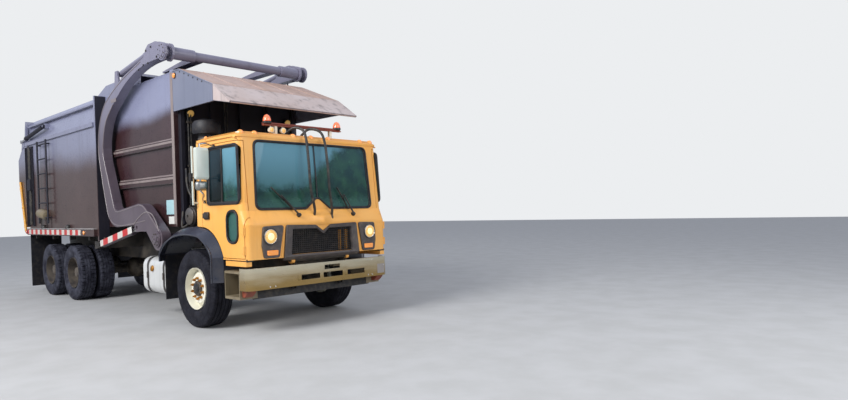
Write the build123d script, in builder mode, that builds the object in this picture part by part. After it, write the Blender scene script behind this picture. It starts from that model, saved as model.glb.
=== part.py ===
from build123d import *
import os
from math import hypot

os.makedirs("parts", exist_ok=True)

# Refuse truck with front lift arms. Millimetres, +X forward, +Y to the truck's left, +Z up.
# The origin lies on the ground, under the middle of the truck's length.
# Side profiles are lists of (x, z), with x measured from the front axle.

# Overall sizes
overall_length = 9455
front_overhang = 1355
axle_x = overall_length / 2 - front_overhang
wheelbase = 5535
tandem_spacing = 1310
body_half = 1220
arm_recess = 190
hopper_half = body_half - arm_recess
cab_half = 1200

# Clearances
running = 0.05
seat_gap = 0.3
panel_gap = 8

# Wheels and tyres
front_tyre_r = 542
front_tyre_w = 315
front_tyre_face = 1225
rear_tyre_r = 525
rear_tyre_w = 280
rear_tyre_face = 1220
dual_spacing = 335
rim_r = 290
rim_lip_r = 302
hub_r = 110
hand_hole_r = 24
hand_hole_circle = 244
hand_holes = 10
spindle_r = 45
tandem_x = (-wheelbase + tandem_spacing / 2, -wheelbase - tandem_spacing / 2)

# Chassis
rail_half = 430
rail_flange = 90
rail_web = 12
rail_low = 800
rail_high = 1070
rail_front = 1130
rail_back = -7430
tow_bore_r = 20
kingpin_y = 915
kingpin_r = 24

# Cab
cab_back = 120
cab_face = 1330
cab_low = 975
cab_wall = 50
glass_low = 1600
glass_high = 2510
glass_half_low = cab_half - 210
glass_half_high = cab_half - 245
glass_foot = glass_low + 10
glass_peak = glass_low + 175
glass_peak_half = 205
cowl_z = 1420
glass_t = 6
arch_pad = 12
door_back = 270
door_low = 1000
door_depth = 100
hinge_x = 1289
hinge_y = cab_half - 12
hinge_r = 12
hinge_length = 110
hinge_heights = (1100, 1340)
door_high = 2490
window_low = 1700
window_high = 2445
window_back = 420
window_front = 1215
tilt_x = 1250
tilt_z = 930
tilt_pin_r = 25
tilt_eye_r = 45
tilt_pin_out = 75
seat_floor = 1480
tunnel_half = 510
seat_y = (cab_half - cab_wall + tunnel_half) / 2 - 40
seat_half = (cab_half - cab_wall - tunnel_half) / 2 - 90
dash_half = cab_half - cab_wall - 65
tunnel_top = 1540

# Front fender: top, shoulder and foot of its outer curve
fender_top = 1400
arch_back = -930
arch_front = 770
arch_foot = 1000
fender_t = 22
fender_foot = 670
lip_foot = 900
lip_drop = 90
lip_width = 125
fender_in = 800
fender_out = cab_half - 5

# Lift arms
pivot_x = -1050
pivot_z = 1220
pivot_r = 85
arm_clear = 75
arm_in = hopper_half + arm_clear
arm_t = 140
arm_out = arm_in + arm_t
arm_mid = arm_in + arm_t / 2
tube_x = -700
tube_z = 3955
tube_r = 68
collar_r = 90
stub_r = 50
arm_end_r = 170
arm_tip_r = 130
cab_clear_r = 2655
fork_in = 560
fork_w = 150
fork_length = 1150
fork_tip = 25
lug_x = -1770
lug_z = 1395
lug_r = 72
arm_cheek = 30
pin_r = 28
lift_base_x = -3395
lift_base_z = 1095
lift_ear_gap = 37
lift_ear_t = 25
fork_base_x = -2370
fork_base_z = 3905
crank_x = -850
crank_z = 4090
crank_pin_r = 22
fork_pin_r = 20
crank_r = 242

# Load body
hopper_front = -720
hopper_back = -3480
hopper_top = 3720
floor_top = 1460
floor_low = 1400
wall = 50
body_front = -3480
body_back = -7500
body_side_top = 3220
body_band_top = 3600
body_roof = 3720
roof_half = body_half - 160
band_half = body_half - 100
hood_half = roof_half - 60
ledge_in = body_half - 70
hood_top = 3910
hood_front = -2100

# Tailgate
gate_hinge_x = -7470
gate_hinge_z = 3800
gate_hinge_r = 24
gate_lug_x = -7700
gate_lug_z = 3290
gate_base_x = -6150
gate_base_z = 3470
gate_ram_y = body_half + 32
gate_pin_r = 20


def side(y):
    """Upright plane along the truck at width y. It faces right, with the front axle at x = 0."""
    return Plane(origin=(axle_x, y, 0), x_dir=(1, 0, 0), z_dir=(0, -1, 0))


def across(x):
    """Upright plane across the truck, x from the front axle. It faces forward, local x to the left."""
    return Plane(origin=(axle_x + x, 0, 0), x_dir=(0, 1, 0), z_dir=(1, 0, 0))


def level(z):
    """Level plane at height z, with the front axle at x = 0."""
    return Plane(origin=(axle_x, 0, z), x_dir=(1, 0, 0), z_dir=(0, 0, 1))


def outline(plane, points, radius=0):
    """Closed polygon on a plane, its corners rounded where a radius is given."""
    with BuildSketch(plane) as face:
        with BuildLine():
            Polyline(*points, close=True)
        make_face()
        if radius:
            fillet(face.vertices(), radius)
    return face.sketch


def block(x, y, z, mode=Mode.ADD):
    """Box between two corners, given as pairs of low and high, x from the front axle."""
    with Locations((axle_x + (x[0] + x[1]) / 2, (y[0] + y[1]) / 2, (z[0] + z[1]) / 2)):
        Box(x[1] - x[0], y[1] - y[0], z[1] - z[0], mode=mode)


def bar_across(x, z, radius, y_low, y_high, mode=Mode.ADD):
    """Round bar or bore across the truck."""
    with Locations((axle_x + x, (y_low + y_high) / 2, z)):
        Cylinder(radius, y_high - y_low, rotation=(90, 0, 0), mode=mode)


def rod(start, end, radius, mode=Mode.ADD):
    """Round rod between two points (x, y, z), x from the front axle."""
    foot = Vector(axle_x + start[0], start[1], start[2])
    head = Vector(axle_x + end[0], end[1], end[2])
    with BuildSketch(Plane(origin=foot, z_dir=head - foot)) as section:
        Circle(radius)
    extrude(section.sketch, amount=(head - foot).length, mode=mode)


def along(start, end, distance):
    """Point (x, z) at a distance from start towards end."""
    length = hypot(end[0] - start[0], end[1] - start[1])
    share = distance / length
    return start[0] + (end[0] - start[0]) * share, start[1] + (end[1] - start[1]) * share


def arch_face(y, out, drop):
    """Filled side face under the front wheel arch moved outwards by a distance, down to a height."""
    back, front = arch_back - out, arch_front + out
    with BuildSketch(side(y)) as face:
        with BuildLine():
            ThreePointArc((back, arch_foot), (-700 - out * 0.8, 1235 + out * 0.6), (-340, 1372 + out))
            ThreePointArc((-340, 1372 + out), (0, fender_top + out), (340, 1372 + out))
            ThreePointArc((340, 1372 + out), (620 + out * 0.8, 1222 + out * 0.6), (front, arch_foot))
            Polyline((front, arch_foot), (front, drop), (back, drop), (back, arch_foot))
        make_face()
    return face.sketch


# Chassis frame: two channel rails, their cross members, horns and cab supports
with BuildPart() as frame_rails:
    channel = [
        (rail_half, rail_low),
        (rail_half, rail_high),
        (rail_half - rail_flange, rail_high),
        (rail_half - rail_flange, rail_high - rail_web),
        (rail_half - rail_web, rail_high - rail_web),
        (rail_half - rail_web, rail_low + rail_web),
        (rail_half - rail_flange, rail_low + rail_web),
        (rail_half - rail_flange, rail_low),
    ]
    extrude(outline(across(rail_back), channel), amount=rail_front - rail_back)
    mirror(about=Plane.XZ)
    member_half = rail_half - rail_web / 2
    for x in (rail_back + 50, -6190, -5535, -4880, -3300, -2150, -1250, rail_front - 40):
        block((x - 40, x + 40), (-member_half, member_half), (rail_low + 45, rail_high - 45))
    with BuildSketch(across(rail_back)) as tow_bore:
        with Locations((0, (rail_low + rail_high) / 2)):
            Circle(tow_bore_r)
    extrude(tow_bore.sketch, amount=100, mode=Mode.SUBTRACT)
    for s in (-1, 1):
        horn = sorted((s * (rail_half - rail_web), s * rail_half))
        block((rail_front - 60, tilt_x + tilt_eye_r), horn, (rail_low + 20, rail_low + 80))
        block((rail_front - 60, tilt_x), horn, (rail_low + 20, tilt_z + tilt_eye_r - 7))
        bar_across(tilt_x, tilt_z, tilt_eye_r - 7, *horn)
        stand = sorted((s * 345, s * 425))
        block((cab_back + 20, cab_back + 80), stand, (rail_high, fender_top + arch_pad - 10 - seat_gap))
    bar_across(tilt_x, tilt_z, tilt_pin_r, -rail_half - tilt_pin_out, rail_half + tilt_pin_out)
frame_rails.part.label = "frame_rails"
export_step(frame_rails.part, "parts/frame_rails.step")

# Front axle: dropped beam with spring pads and kingpin bosses
with BuildPart() as front_axle:
    beam = [(-820, 500), (-560, 420), (560, 420), (820, 500),
            (820, 590), (560, 510), (-560, 510), (-820, 590)]
    extrude(outline(across(-45), beam), amount=90)
    for s in (-1, 1):
        block((-70, 70), sorted((s * 370, s * 480)), (450, 560))
        with Locations((axle_x, s * kingpin_y, front_tyre_r)):
            Cylinder(62, 120)
        block((-45, 45), sorted((s * 800, s * 880)), (495, 595))
        with Locations((axle_x, s * kingpin_y, front_tyre_r)):
            Cylinder(kingpin_r + running, 140, mode=Mode.SUBTRACT)
front_axle.part.label = "front_axle"
export_step(front_axle.part, "parts/front_axle.step")

# Leaf springs over the front axle, seated on its pads and hung under the rails
with BuildPart() as front_springs:
    with BuildSketch(side(465)) as leaf:
        with BuildLine():
            ThreePointArc((-800, 740), (0, 560 + seat_gap), (800, 740))
            Line((800, 740), (800, 775))
            ThreePointArc((800, 775), (0, 640), (-800, 775))
            Line((-800, 775), (-800, 740))
        make_face()
    extrude(leaf.sketch, amount=80)
    for x in (-800, 800):
        block((x - 35, x + 35), (385, 465), (735, rail_low))
    mirror(about=Plane.XZ)
front_springs.part.label = "front_springs"
export_step(front_springs.part, "parts/front_springs.step")

# Steering knuckles: forked round the beam's boss, with kingpin and wheel spindle
for s, hand in ((-1, "right"), (1, "left")):
    with BuildPart() as knuckle:
        block((-55, 55), sorted((s * 870, s * 1005)), (430, 654))
        block((-70, 70), sorted((s * 850, s * 980)), (front_tyre_r - 66, front_tyre_r + 66), Mode.SUBTRACT)
        with Locations((axle_x, s * kingpin_y, front_tyre_r)):
            Cylinder(kingpin_r, 200)
        bar_across(0, front_tyre_r, spindle_r, *sorted((s * 1000, s * 1166)))
        bar_across(0, front_tyre_r, 120, *sorted((s * 990, s * 1010)))
        block((-250, -50), sorted((s * 885, s * 935)), (440, 470))
    knuckle.part.label = f"knuckle_{hand}"
    export_step(knuckle.part, f"parts/knuckle_{hand}.step")


def ring_profile(centre, rows):
    """Closed half-section of a wheel about its axle. Each row is (distance to the left, radius)."""
    with BuildSketch(Plane(origin=centre, x_dir=(0, 1, 0), z_dir=(1, 0, 0))) as section:
        with BuildLine():
            Polyline(*rows, close=True)
        make_face()
    return section.sketch


def tyre_rows(radius, width):
    """Half-section of a tyre, from bead to tread."""
    half = width / 2
    shoulder = half * 0.84
    rows = [(half * 0.8, rim_r), (half, (rim_r + radius) / 2), (half * 0.97, radius - 60),
            (shoulder, radius)]
    return rows + [(-x, r) for x, r in reversed(rows)]


def spin(centre, rows):
    """Ring turned about a wheel's axle."""
    section = ring_profile(centre, rows)
    revolve(section, axis=Axis(centre, (0, 1, 0)))


def cut_hand_holes(centre):
    """Ring of round holes through a wheel's discs."""
    with BuildSketch(Plane(origin=centre, x_dir=(1, 0, 0), z_dir=(0, 1, 0))) as ring:
        with PolarLocations(hand_hole_circle, hand_holes):
            Circle(hand_hole_r)
    extrude(ring.sketch, amount=270, both=True, mode=Mode.SUBTRACT)


# Front wheels: disc rims on the knuckles' spindles
for s, hand in ((-1, "right"), (1, "left")):
    centre = (axle_x, s * (front_tyre_face - front_tyre_w / 2), front_tyre_r)
    half = front_tyre_w / 2
    with BuildPart() as tyre:
        spin(centre, tyre_rows(front_tyre_r, front_tyre_w))
    tyre.part.label = f"front_tyre_{hand}"
    export_step(tyre.part, f"parts/front_tyre_{hand}.step")
    with BuildPart() as rim:
        barrel = [(-half + 20, rim_lip_r - 16), (half - 20, rim_lip_r - 16), (half - 20, rim_r),
                  (-half + 20, rim_r)]
        disc = [(s * 71, hub_r - 40), (s * 71, 190), (s * -18, rim_r - 2), (s * 4, rim_r - 2), (s * 87, 200)]
        disc += [(s * 87, hub_r - 40)]
        hub = [(s * -20, spindle_r + running), (s * -20, hub_r), (s * 95, hub_r - 14), (s * 110, 80)]
        hub += [(s * 110, spindle_r + running)]
        spin(centre, barrel)
        spin(centre, disc)
        cut_hand_holes(centre)
        spin(centre, hub)
    rim.part.label = f"front_wheel_{hand}"
    export_step(rim.part, f"parts/front_wheel_{hand}.step")

# Rear axles: housings with differential bulges, spindles and the shafts that drive them
with BuildPart() as rear_axles:
    for x in tandem_x:
        bar_across(x, rear_tyre_r, 75, -600, 600)
        bar_across(x, rear_tyre_r, spindle_r + 10, -1130, 1130)
        with Locations((axle_x + x, 0, rear_tyre_r + 20)):
            Sphere(205)
    rod((-1153, 0, 740), (tandem_x[0] + 150, 0, 590), 45)
    rod((tandem_x[0] - 150, 0, 560), (tandem_x[1] + 150, 0, 560), 40)
rear_axles.part.label = "rear_axles"
export_step(rear_axles.part, "parts/rear_axles.step")

# Walking beams that join the two rear axles to the rails
with BuildPart() as walking_beams:
    mid = -wheelbase
    beam = [
        (tandem_x[1] - 110, 450),
        (mid, 400),
        (tandem_x[0] + 110, 450),
        (tandem_x[0] + 110, 600),
        (mid + 130, 640),
        (mid + 130, rail_low),
        (mid - 130, rail_low),
        (mid - 130, 640),
        (tandem_x[1] - 110, 600),
    ]
    extrude(outline(side(550), beam), amount=110)
    block((mid - 130, mid + 130), (345, 445), (700, rail_low))
    for x in tandem_x:
        bar_across(x, rear_tyre_r, 75 + seat_gap, 400, 600, Mode.SUBTRACT)
    mirror(about=Plane.XZ)
walking_beams.part.label = "walking_beams"
export_step(walking_beams.part, "parts/walking_beams.step")

# Rear twin wheels
for row, x in enumerate(tandem_x, start=1):
    for s, hand in ((-1, "right"), (1, "left")):
        half = rear_tyre_w / 2
        outer_y = rear_tyre_face - half
        with BuildPart() as tyres:
            for y in (outer_y, outer_y - dual_spacing):
                spin((axle_x + x, s * y, rear_tyre_r), tyre_rows(rear_tyre_r, rear_tyre_w))
        tyres.part.label = f"rear_tyres_{row}_{hand}"
        export_step(tyres.part, f"parts/rear_tyres_{row}_{hand}.step")
        centre = (axle_x + x, s * outer_y, rear_tyre_r)
        gap = s * dual_spacing
        with BuildPart() as wheels:
            for side_y in (0, -gap):
                low = side_y - half + 20
                high = side_y + half - 20
                spin(centre, [(low, rim_lip_r - 16), (high, rim_lip_r - 16), (high, rim_r), (low, rim_r)])
            spin(centre, [(s * -176, 100), (s * -176, 210), (s * -96, rim_r - 2), (s * -80, rim_r - 2),
                          (s * -160, 200), (s * -160, 100)])
            spin(centre, [(s * -160, 100), (s * -160, 200), (s * -250, rim_r - 2), (s * -234, rim_r - 2),
                          (s * -144, 210), (s * -144, 100)])
            cut_hand_holes(centre)
            bore = spindle_r + 10 + running
            spin(centre, [(s * -300, bore), (s * -300, 150), (s * -150, 150), (s * -60, 105), (s * 40, 100),
                          (s * 60, 80), (s * 60, bore)])
        wheels.part.label = f"rear_wheels_{row}_{hand}"
        export_step(wheels.part, f"parts/rear_wheels_{row}_{hand}.step")

# Bumper: slotted steel channel on the frame horns
bumper_face = front_overhang
with BuildPart() as bumper:
    for inset, low, mode in ((0, 590, Mode.ADD), (12, 602, Mode.SUBTRACT)):
        half = cab_half - inset
        face = bumper_face - inset
        plan = [(1160 - inset, -half), (face - 55, -half), (face, 70 - half), (face, half - 70),
                (face - 55, half), (1160 - inset, half)]
        extrude(outline(level(low), plan), amount=280 - 2 * inset, mode=mode)
    block((1140, tilt_x + tilt_eye_r + 5), (12 - cab_half, cab_half - 12), (580, 880), Mode.SUBTRACT)
    for s in (-1, 1):
        bracket = sorted((s * (rail_half - 60), s * rail_half))
        block((tilt_x + tilt_eye_r + seat_gap, bumper_face - 10), bracket, (640, 852))
    for low, high in ((-450, -80), (-20, 320), (370, 730)):
        block((bumper_face - 25, bumper_face + 5), (low, high), (660, 730), Mode.SUBTRACT)
    block((bumper_face - 25, bumper_face + 5), (0, 270), (770, 830), Mode.SUBTRACT)
bumper.part.label = "bumper"
export_step(bumper.part, "parts/bumper.step")

# Step boxes behind the bumper's ends
step_in = cab_half - 260
step_back = arch_front + 20
with BuildPart() as step_boxes:
    block((step_back, 1150), (step_in, cab_half - 5), (470, 830))
    block((step_back + 12, 1138), (step_in + 12, cab_half + 10), (505, 800), Mode.SUBTRACT)
    block((930, 1010), (rail_half + seat_gap, step_in + 5), (760, 830))
    mirror(about=Plane.XZ)
step_boxes.part.label = "step_boxes"
export_step(step_boxes.part, "parts/step_boxes.step")

# Front fenders, with stays to the rails
with BuildPart() as front_fenders:
    extrude(arch_face(fender_out, 0, 980), amount=fender_out - fender_in)
    extrude(arch_face(fender_out + 1, -fender_t, 979), amount=fender_out - fender_in + 2, mode=Mode.SUBTRACT)
    block((arch_front - fender_t, arch_front), (fender_in, fender_out), (fender_foot, arch_foot + 1))
    lip_y = fender_out + lip_width
    loft([arch_face(fender_out, 0, fender_foot), arch_face(lip_y, -lip_drop, fender_foot)], ruled=True)
    lip_room = [arch_face(fender_out, -fender_t, fender_foot - 1),
                arch_face(lip_y, -lip_drop - fender_t, fender_foot - 1)]
    loft(lip_room, ruled=True, mode=Mode.SUBTRACT)
    block((arch_back - 1, 0), (fender_out, lip_y + 1), (fender_foot - 2, lip_foot), Mode.SUBTRACT)
    block((-925, -870), (rail_half + seat_gap, fender_in + 20), (1001, 1041))
    block((690, 762), (rail_half + seat_gap, fender_in + 10), (960, 990))
    mirror(about=Plane.XZ)
front_fenders.part.label = "front_fenders"
export_step(front_fenders.part, "parts/front_fenders.step")

# Mud flaps behind the front and rear wheels
with BuildPart() as mud_flaps:
    block((-930, -918), (fender_in, fender_out), (320, 980))
    block((rail_back - 20, rail_back - 8), (600, body_half - 10), (110, 1250))
    mirror(about=Plane.XZ)
mud_flaps.part.label = "mud_flaps"
export_step(mud_flaps.part, "parts/mud_flaps.step")

# Fuel tank on the right, battery box on the left
with BuildPart() as fuel_tank:
    with BuildSketch(Plane(origin=(axle_x - 1800, 0, 0), x_dir=(0, 1, 0), z_dir=(1, 0, 0))) as section:
        with Locations((-885, 645)):
            RectangleRounded(530, 570, 150)
    extrude(section.sketch, amount=840)
    for x in (-1680, -1080):
        block((x - 30, x + 30), (-700, -rail_half - seat_gap), (700, 1040))
fuel_tank.part.label = "fuel_tank"
export_step(fuel_tank.part, "parts/fuel_tank.step")

with BuildPart() as battery_box:
    block((-1700, -960), (640, 1140), (430, 930))
    for x in (-1600, -1060):
        block((x - 30, x + 30), (rail_half + seat_gap, 700), (850, 1040))
battery_box.part.label = "battery_box"
export_step(battery_box.part, "parts/battery_box.step")

# Engine and gearbox as one plain block on the rails
with BuildPart() as engine_block:
    block((-560, 760), (-330, 330), (650, 1470))
    block((-1150, -560), (-220, 220), (650, 960))
    block((-200, -80), (-410, 410), (rail_high, rail_high + 60))
    block((500, 620), (-410, 410), (rail_high, rail_high + 60))
engine_block.part.label = "engine_block"
export_step(engine_block.part, "parts/engine_block.step")

# Air intake behind the cab, on the right
with BuildPart() as air_intake:
    block((-480, -180), (-960, -640), (1500, 2600))
    block((-520, -120), (-1010, -600), (2600, 2880))
    block((-480, -230), (-700, -360), (rail_high + seat_gap, 1500))
air_intake.part.label = "air_intake"
export_step(air_intake.part, "parts/air_intake.step")

# Subframe between the rails and the load body, with outriggers and the lift rams' feet
with BuildPart() as subframe:
    block((-7450, -1250), (345, rail_half), (rail_high, floor_low))
    for x in (-7390, -6500, -5535, -4500, -3540):
        block((x - 50, x + 50), (rail_half - 5, ledge_in - 1), (1250, floor_low))
    block((-3590, -3490), (rail_half + seat_gap, arm_mid + lift_ear_gap + lift_ear_t), (1020, 1149))
    block((-3590, -3490), (rail_half - 5, ledge_in - 1), (1140, 1255))
    for y in (arm_mid - lift_ear_gap - lift_ear_t, arm_mid + lift_ear_gap):
        ear = [(-3500, 1030), (lift_base_x + 40, 1050), (lift_base_x + 50, 1140), (-3500, 1149)]
        extrude(outline(side(y + lift_ear_t), ear), amount=lift_ear_t)
    bar_across(lift_base_x, lift_base_z, pin_r, arm_mid - lift_ear_gap - lift_ear_t - 8,
               arm_mid + lift_ear_gap + lift_ear_t + 8)
    mirror(about=Plane.XZ)
    for x in (-7390, -5535, -3540, -1300):
        block((x - 50, x + 50), (-350, 350), (1250, floor_low))
subframe.part.label = "subframe"
export_step(subframe.part, "parts/subframe.step")

# Pillow blocks on the rails for the lift arms' cross shaft
with BuildPart() as arm_pivot_mounts:
    block((pivot_x - 120, pivot_x + 120), (345, rail_half), (rail_high, floor_low))
    bar_across(pivot_x, pivot_z, pivot_r + running, 300, 500, Mode.SUBTRACT)
    mirror(about=Plane.XZ)
arm_pivot_mounts.part.label = "arm_pivot_mounts"
export_step(arm_pivot_mounts.part, "parts/arm_pivot_mounts.step")

# Hopper: open box between the lift arms, with ribs and corner posts outside
with BuildPart() as hopper:
    block((hopper_back + wall, hopper_front), (-hopper_half, hopper_half), (floor_low, hopper_top))
    block((hopper_back, hopper_front - wall), (-hopper_half + wall, hopper_half - wall),
          (floor_top, hopper_top + 10), Mode.SUBTRACT)
    for low, high in ((2600, 2700), (2040, 2160)):
        block((hopper_back + wall, hopper_front - 70), (hopper_half - 5, hopper_half + 45), (low, high))
        block((hopper_back + wall, hopper_front - 70), (-hopper_half - 45, -hopper_half + 5), (low, high))
    for s in (-1, 1):
        block((hopper_front - 90, hopper_front), sorted((s * (hopper_half - 5), s * (hopper_half + 55))),
              (floor_low, hopper_top))
hopper.part.label = "hopper"
export_step(hopper.part, "parts/hopper.step")

# Rails along the load body's sides: depth into the side, reach out of it, low, high
body_rails = (
    (5, 34, body_side_top - 45, body_side_top + 25),
    (94, -30, body_band_top - 25, body_band_top + 5),
)
body_section = [(body_half, floor_low), (body_half, body_side_top), (band_half, body_band_top),
                (roof_half, body_roof)]
body_inner = [(body_half - wall, floor_top), (body_half - wall, body_side_top - 10)]
body_inner += [(band_half - wall, body_band_top - 20), (roof_half - 25, body_roof - wall)]


def mirrored(points):
    """Points of a half outline, followed by their mirror image across the truck's middle."""
    return points + [(-y, z) for y, z in reversed(points)]


# Rear load body: closed tube section, front face plates beside the hopper, and raised hood
with BuildPart() as load_body:
    extrude(outline(across(body_back), mirrored(body_section)), amount=body_front - body_back)
    face = [(body_half, 1150), (body_half, body_roof - 10)]
    extrude(outline(across(body_front), mirrored(face)), amount=wall)
    block((body_front - 1, body_front + wall + 1), (-hopper_half, hopper_half), (1000, floor_low),
          Mode.SUBTRACT)
    extrude(outline(across(body_back - 1), mirrored(body_inner)), amount=body_front - body_back + 1,
            mode=Mode.SUBTRACT)
    opening_half = hopper_half - wall
    block((body_front - 1, body_front + wall + 1), (-opening_half, opening_half),
          (floor_top, body_roof - wall), Mode.SUBTRACT)
    hood = [(-4100, body_roof - 5), (-3470, hood_top), (hood_front, hood_top), (hood_front, body_roof + 2),
            (body_front + wall, body_roof + 2), (body_front + wall, body_roof - 5)]
    extrude(outline(side(hood_half), hood), amount=2 * hood_half)
    cavity = [(-3900, body_roof + 1), (-3440, hood_top - 40), (hood_front + 1, hood_top - 40),
              (hood_front + 1, body_roof + 1)]
    extrude(outline(side(hood_half - 40), cavity), amount=2 * hood_half - 80, mode=Mode.SUBTRACT)
    for s in (-1, 1):
        eye = sorted((s * (band_half - 20), s * (body_half + 14)))
        block((gate_base_x - 60, gate_base_x + 60), eye, (gate_base_z - 50, gate_base_z + 50))
        span = sorted((s * (body_half - 20), s * (gate_ram_y + 23)))
        bar_across(gate_base_x, gate_base_z, gate_pin_r, *span)
        for depth, reach, low, high in body_rails:
            rail = sorted((s * (body_half - depth), s * (body_half + reach)))
            block((body_back + 60, body_front - 1), rail, (low, high))
        ear = sorted((s * 700, s * 760))
        block((body_back, body_back + 160), ear, (body_roof - 2, gate_hinge_z + 40))
        bar_across(gate_hinge_x, gate_hinge_z, 40, *ear)
        bar_across(gate_hinge_x, gate_hinge_z, gate_hinge_r, *sorted((s * 600, s * 860)))
load_body.part.label = "load_body"
export_step(load_body.part, "parts/load_body.step")

# Ledge beams along the load body's foot
with BuildPart() as side_ledges:
    block((-7400, -3482), (ledge_in, body_half), (1250, floor_low))
    mirror(about=Plane.XZ)
side_ledges.part.label = "side_ledges"
export_step(side_ledges.part, "parts/side_ledges.step")

# Ladder on the right
with BuildPart() as ladder:
    ladder_y = -body_half - 70
    stiles = (-6480, -5920)
    for x in stiles:
        rod((x, ladder_y, 1480), (x, ladder_y, 3180), 18)
        for z in (1600, 3100):
            rod((x, ladder_y, z), (x, -body_half - seat_gap, z), 14)
    for step in range(6):
        rod((stiles[0], ladder_y, 1600 + step * 300), (stiles[1], ladder_y, 1600 + step * 300), 14)
ladder.part.label = "ladder"
export_step(ladder.part, "parts/ladder.step")

# Packer blade in the hopper
with BuildPart() as packer_blade:
    profile = [(-1060, floor_top + seat_gap), (-820, floor_top + seat_gap), (-820, 2500), (-900, 2600),
               (-1060, 2400)]
    blade_half = hopper_half - wall - 15
    extrude(outline(side(blade_half), profile), amount=2 * blade_half)
packer_blade.part.label = "packer_blade"
export_step(packer_blade.part, "parts/packer_blade.step")

# Canopy over the cab
canopy_half = hopper_half + 55
canopy_t = 25
with BuildPart() as canopy:
    cheek = [(hopper_front, 3690), (-506, 3685), (444, 3323), (870, 3035), (850, 3022), (444, 3100),
             (hopper_front, 3100)]
    extrude(outline(side(canopy_half), cheek), amount=2 * canopy_half)
    below = [(hopper_front - 1, 3690 - canopy_t), (-510, 3685 - canopy_t), (436, 3323 - canopy_t),
             (870, 3006), (870, 2900), (hopper_front - 1, 2900)]
    room_half = canopy_half - canopy_t
    extrude(outline(side(room_half), below), amount=2 * room_half, mode=Mode.SUBTRACT)
canopy.part.label = "canopy"
export_step(canopy.part, "parts/canopy.step")

# Cab skin: rows of (height, front face, half width, front corner radius)
cab_sections = (
    (cab_low, cab_face, cab_half, 90),
    (cowl_z, cab_face, cab_half, 90),
    (glass_low, 1252, cab_half, 90),
    (2545, 1172, cab_half - 15, 90),
)


def cab_slice(z, front, half, corner, inset):
    """Level section of the cab with rounded front corners, moved inwards by an inset."""
    back = cab_back + inset
    with BuildSketch(level(z)) as section:
        with BuildLine():
            Polyline((front - inset, -half + inset), (back, -half + inset), (back, half - inset),
                     (front - inset, half - inset), close=True)
        make_face()
        corners = section.vertices().group_by(Axis.X)[-1]
        fillet(corners, corner - inset * 0.8)
    return section.sketch


def cab_solid(inset):
    """Solid of the cab's outside, or of its room when inset."""
    rows = [(z, front, half, corner) for z, front, half, corner in cab_sections]
    return loft([cab_slice(z, front, half, corner, inset) for z, front, half, corner in rows], ruled=True)


with BuildPart() as cab_outside:
    cab_solid(0)
with BuildPart() as cab_inside:
    cab_solid(cab_wall)
with BuildPart() as cab_room:
    cab_solid(cab_wall)
    block((cab_back, cab_face), (-cab_half, cab_half), (seat_floor, 2600), Mode.INTERSECT)

windshield = [(-glass_half_low, glass_foot), (-glass_peak_half, glass_foot), (0, glass_peak),
              (glass_peak_half, glass_foot), (glass_half_low, glass_foot), (glass_half_high, glass_high),
              (-glass_half_high, glass_high)]
door_outline = [(door_back, 1388), (door_back, door_high), (1185, door_high), (1238, 1700), (1285, 1700),
                (1285, door_low), (786, door_low)]
window_outline = [(window_back, window_low), (window_front, window_low), (1175, window_high),
                  (window_back + 20, window_high)]
porthole = [(890, 1180), (1180, 1180), (1180, 1620), (890, 1620)]
grille_half = 600
grille_notch = 70
grille_hole = [(-grille_half, 1010), (grille_half, 1010), (grille_half - 40, 1390), (110, 1375),
               (0, 1375 - grille_notch), (-110, 1375), (-grille_half + 40, 1390)]


def door_profile(y, grow):
    """Side profile of a door, grown by a gap."""
    with BuildSketch(side(y)) as face:
        with BuildLine():
            Polyline(*door_outline, close=True)
        make_face()
        if grow:
            offset(amount=grow, kind=Kind.INTERSECTION)
    return face.sketch


# Cab shell: lofted skin with room, tunnel, arches, doorways and windows cut
with BuildPart() as cab_shell:
    add(cab_outside.part)
    add(cab_room.part, mode=Mode.SUBTRACT)
    block((800, cab_face - cab_wall), (-cab_half + cab_wall, cab_half - cab_wall), (1060, seat_floor + 1),
          Mode.SUBTRACT)
    block((cab_back + cab_wall, 1180), (-tunnel_half, tunnel_half), (1060, 1580))
    block((cab_back - 1, 1145), (-tunnel_half + cab_wall, tunnel_half - cab_wall), (900, tunnel_top),
          Mode.SUBTRACT)
    extrude(arch_face(cab_half + 50, arch_pad, 900), amount=2 * cab_half + 100, mode=Mode.SUBTRACT)
    extrude(outline(across(1080), windshield, 90), amount=300, mode=Mode.SUBTRACT)
    rear_window = [(-380, 1760), (380, 1760), (380, 2200), (-380, 2200)]
    extrude(outline(across(cab_back - 1), rear_window, 60), amount=cab_wall + 2, mode=Mode.SUBTRACT)
    extrude(outline(across(1100), grille_hole), amount=300, mode=Mode.SUBTRACT)
    for s in (-1, 1):
        cut_depth = s * (50 + door_depth + panel_gap)
        extrude(door_profile(s * (cab_half + 50), panel_gap), amount=cut_depth, mode=Mode.SUBTRACT)
        ear = sorted((s * (rail_half + 12), s * (rail_half + 62)))
        block((tilt_x - tilt_eye_r, tilt_x + tilt_eye_r), ear, (tilt_z, cab_low + 2))
        bar_across(tilt_x, tilt_z, tilt_eye_r, *ear)
        for z in hinge_heights:
            with Locations((axle_x + hinge_x, s * hinge_y, z)):
                Cylinder(hinge_r + seat_gap, hinge_length + 2 * seat_gap, mode=Mode.SUBTRACT)
    bar_across(tilt_x, tilt_z, tilt_pin_r + running, -rail_half - tilt_pin_out, rail_half + tilt_pin_out,
               Mode.SUBTRACT)
cab_shell.part.label = "cab_shell"
export_step(cab_shell.part, "parts/cab_shell.step")

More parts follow.
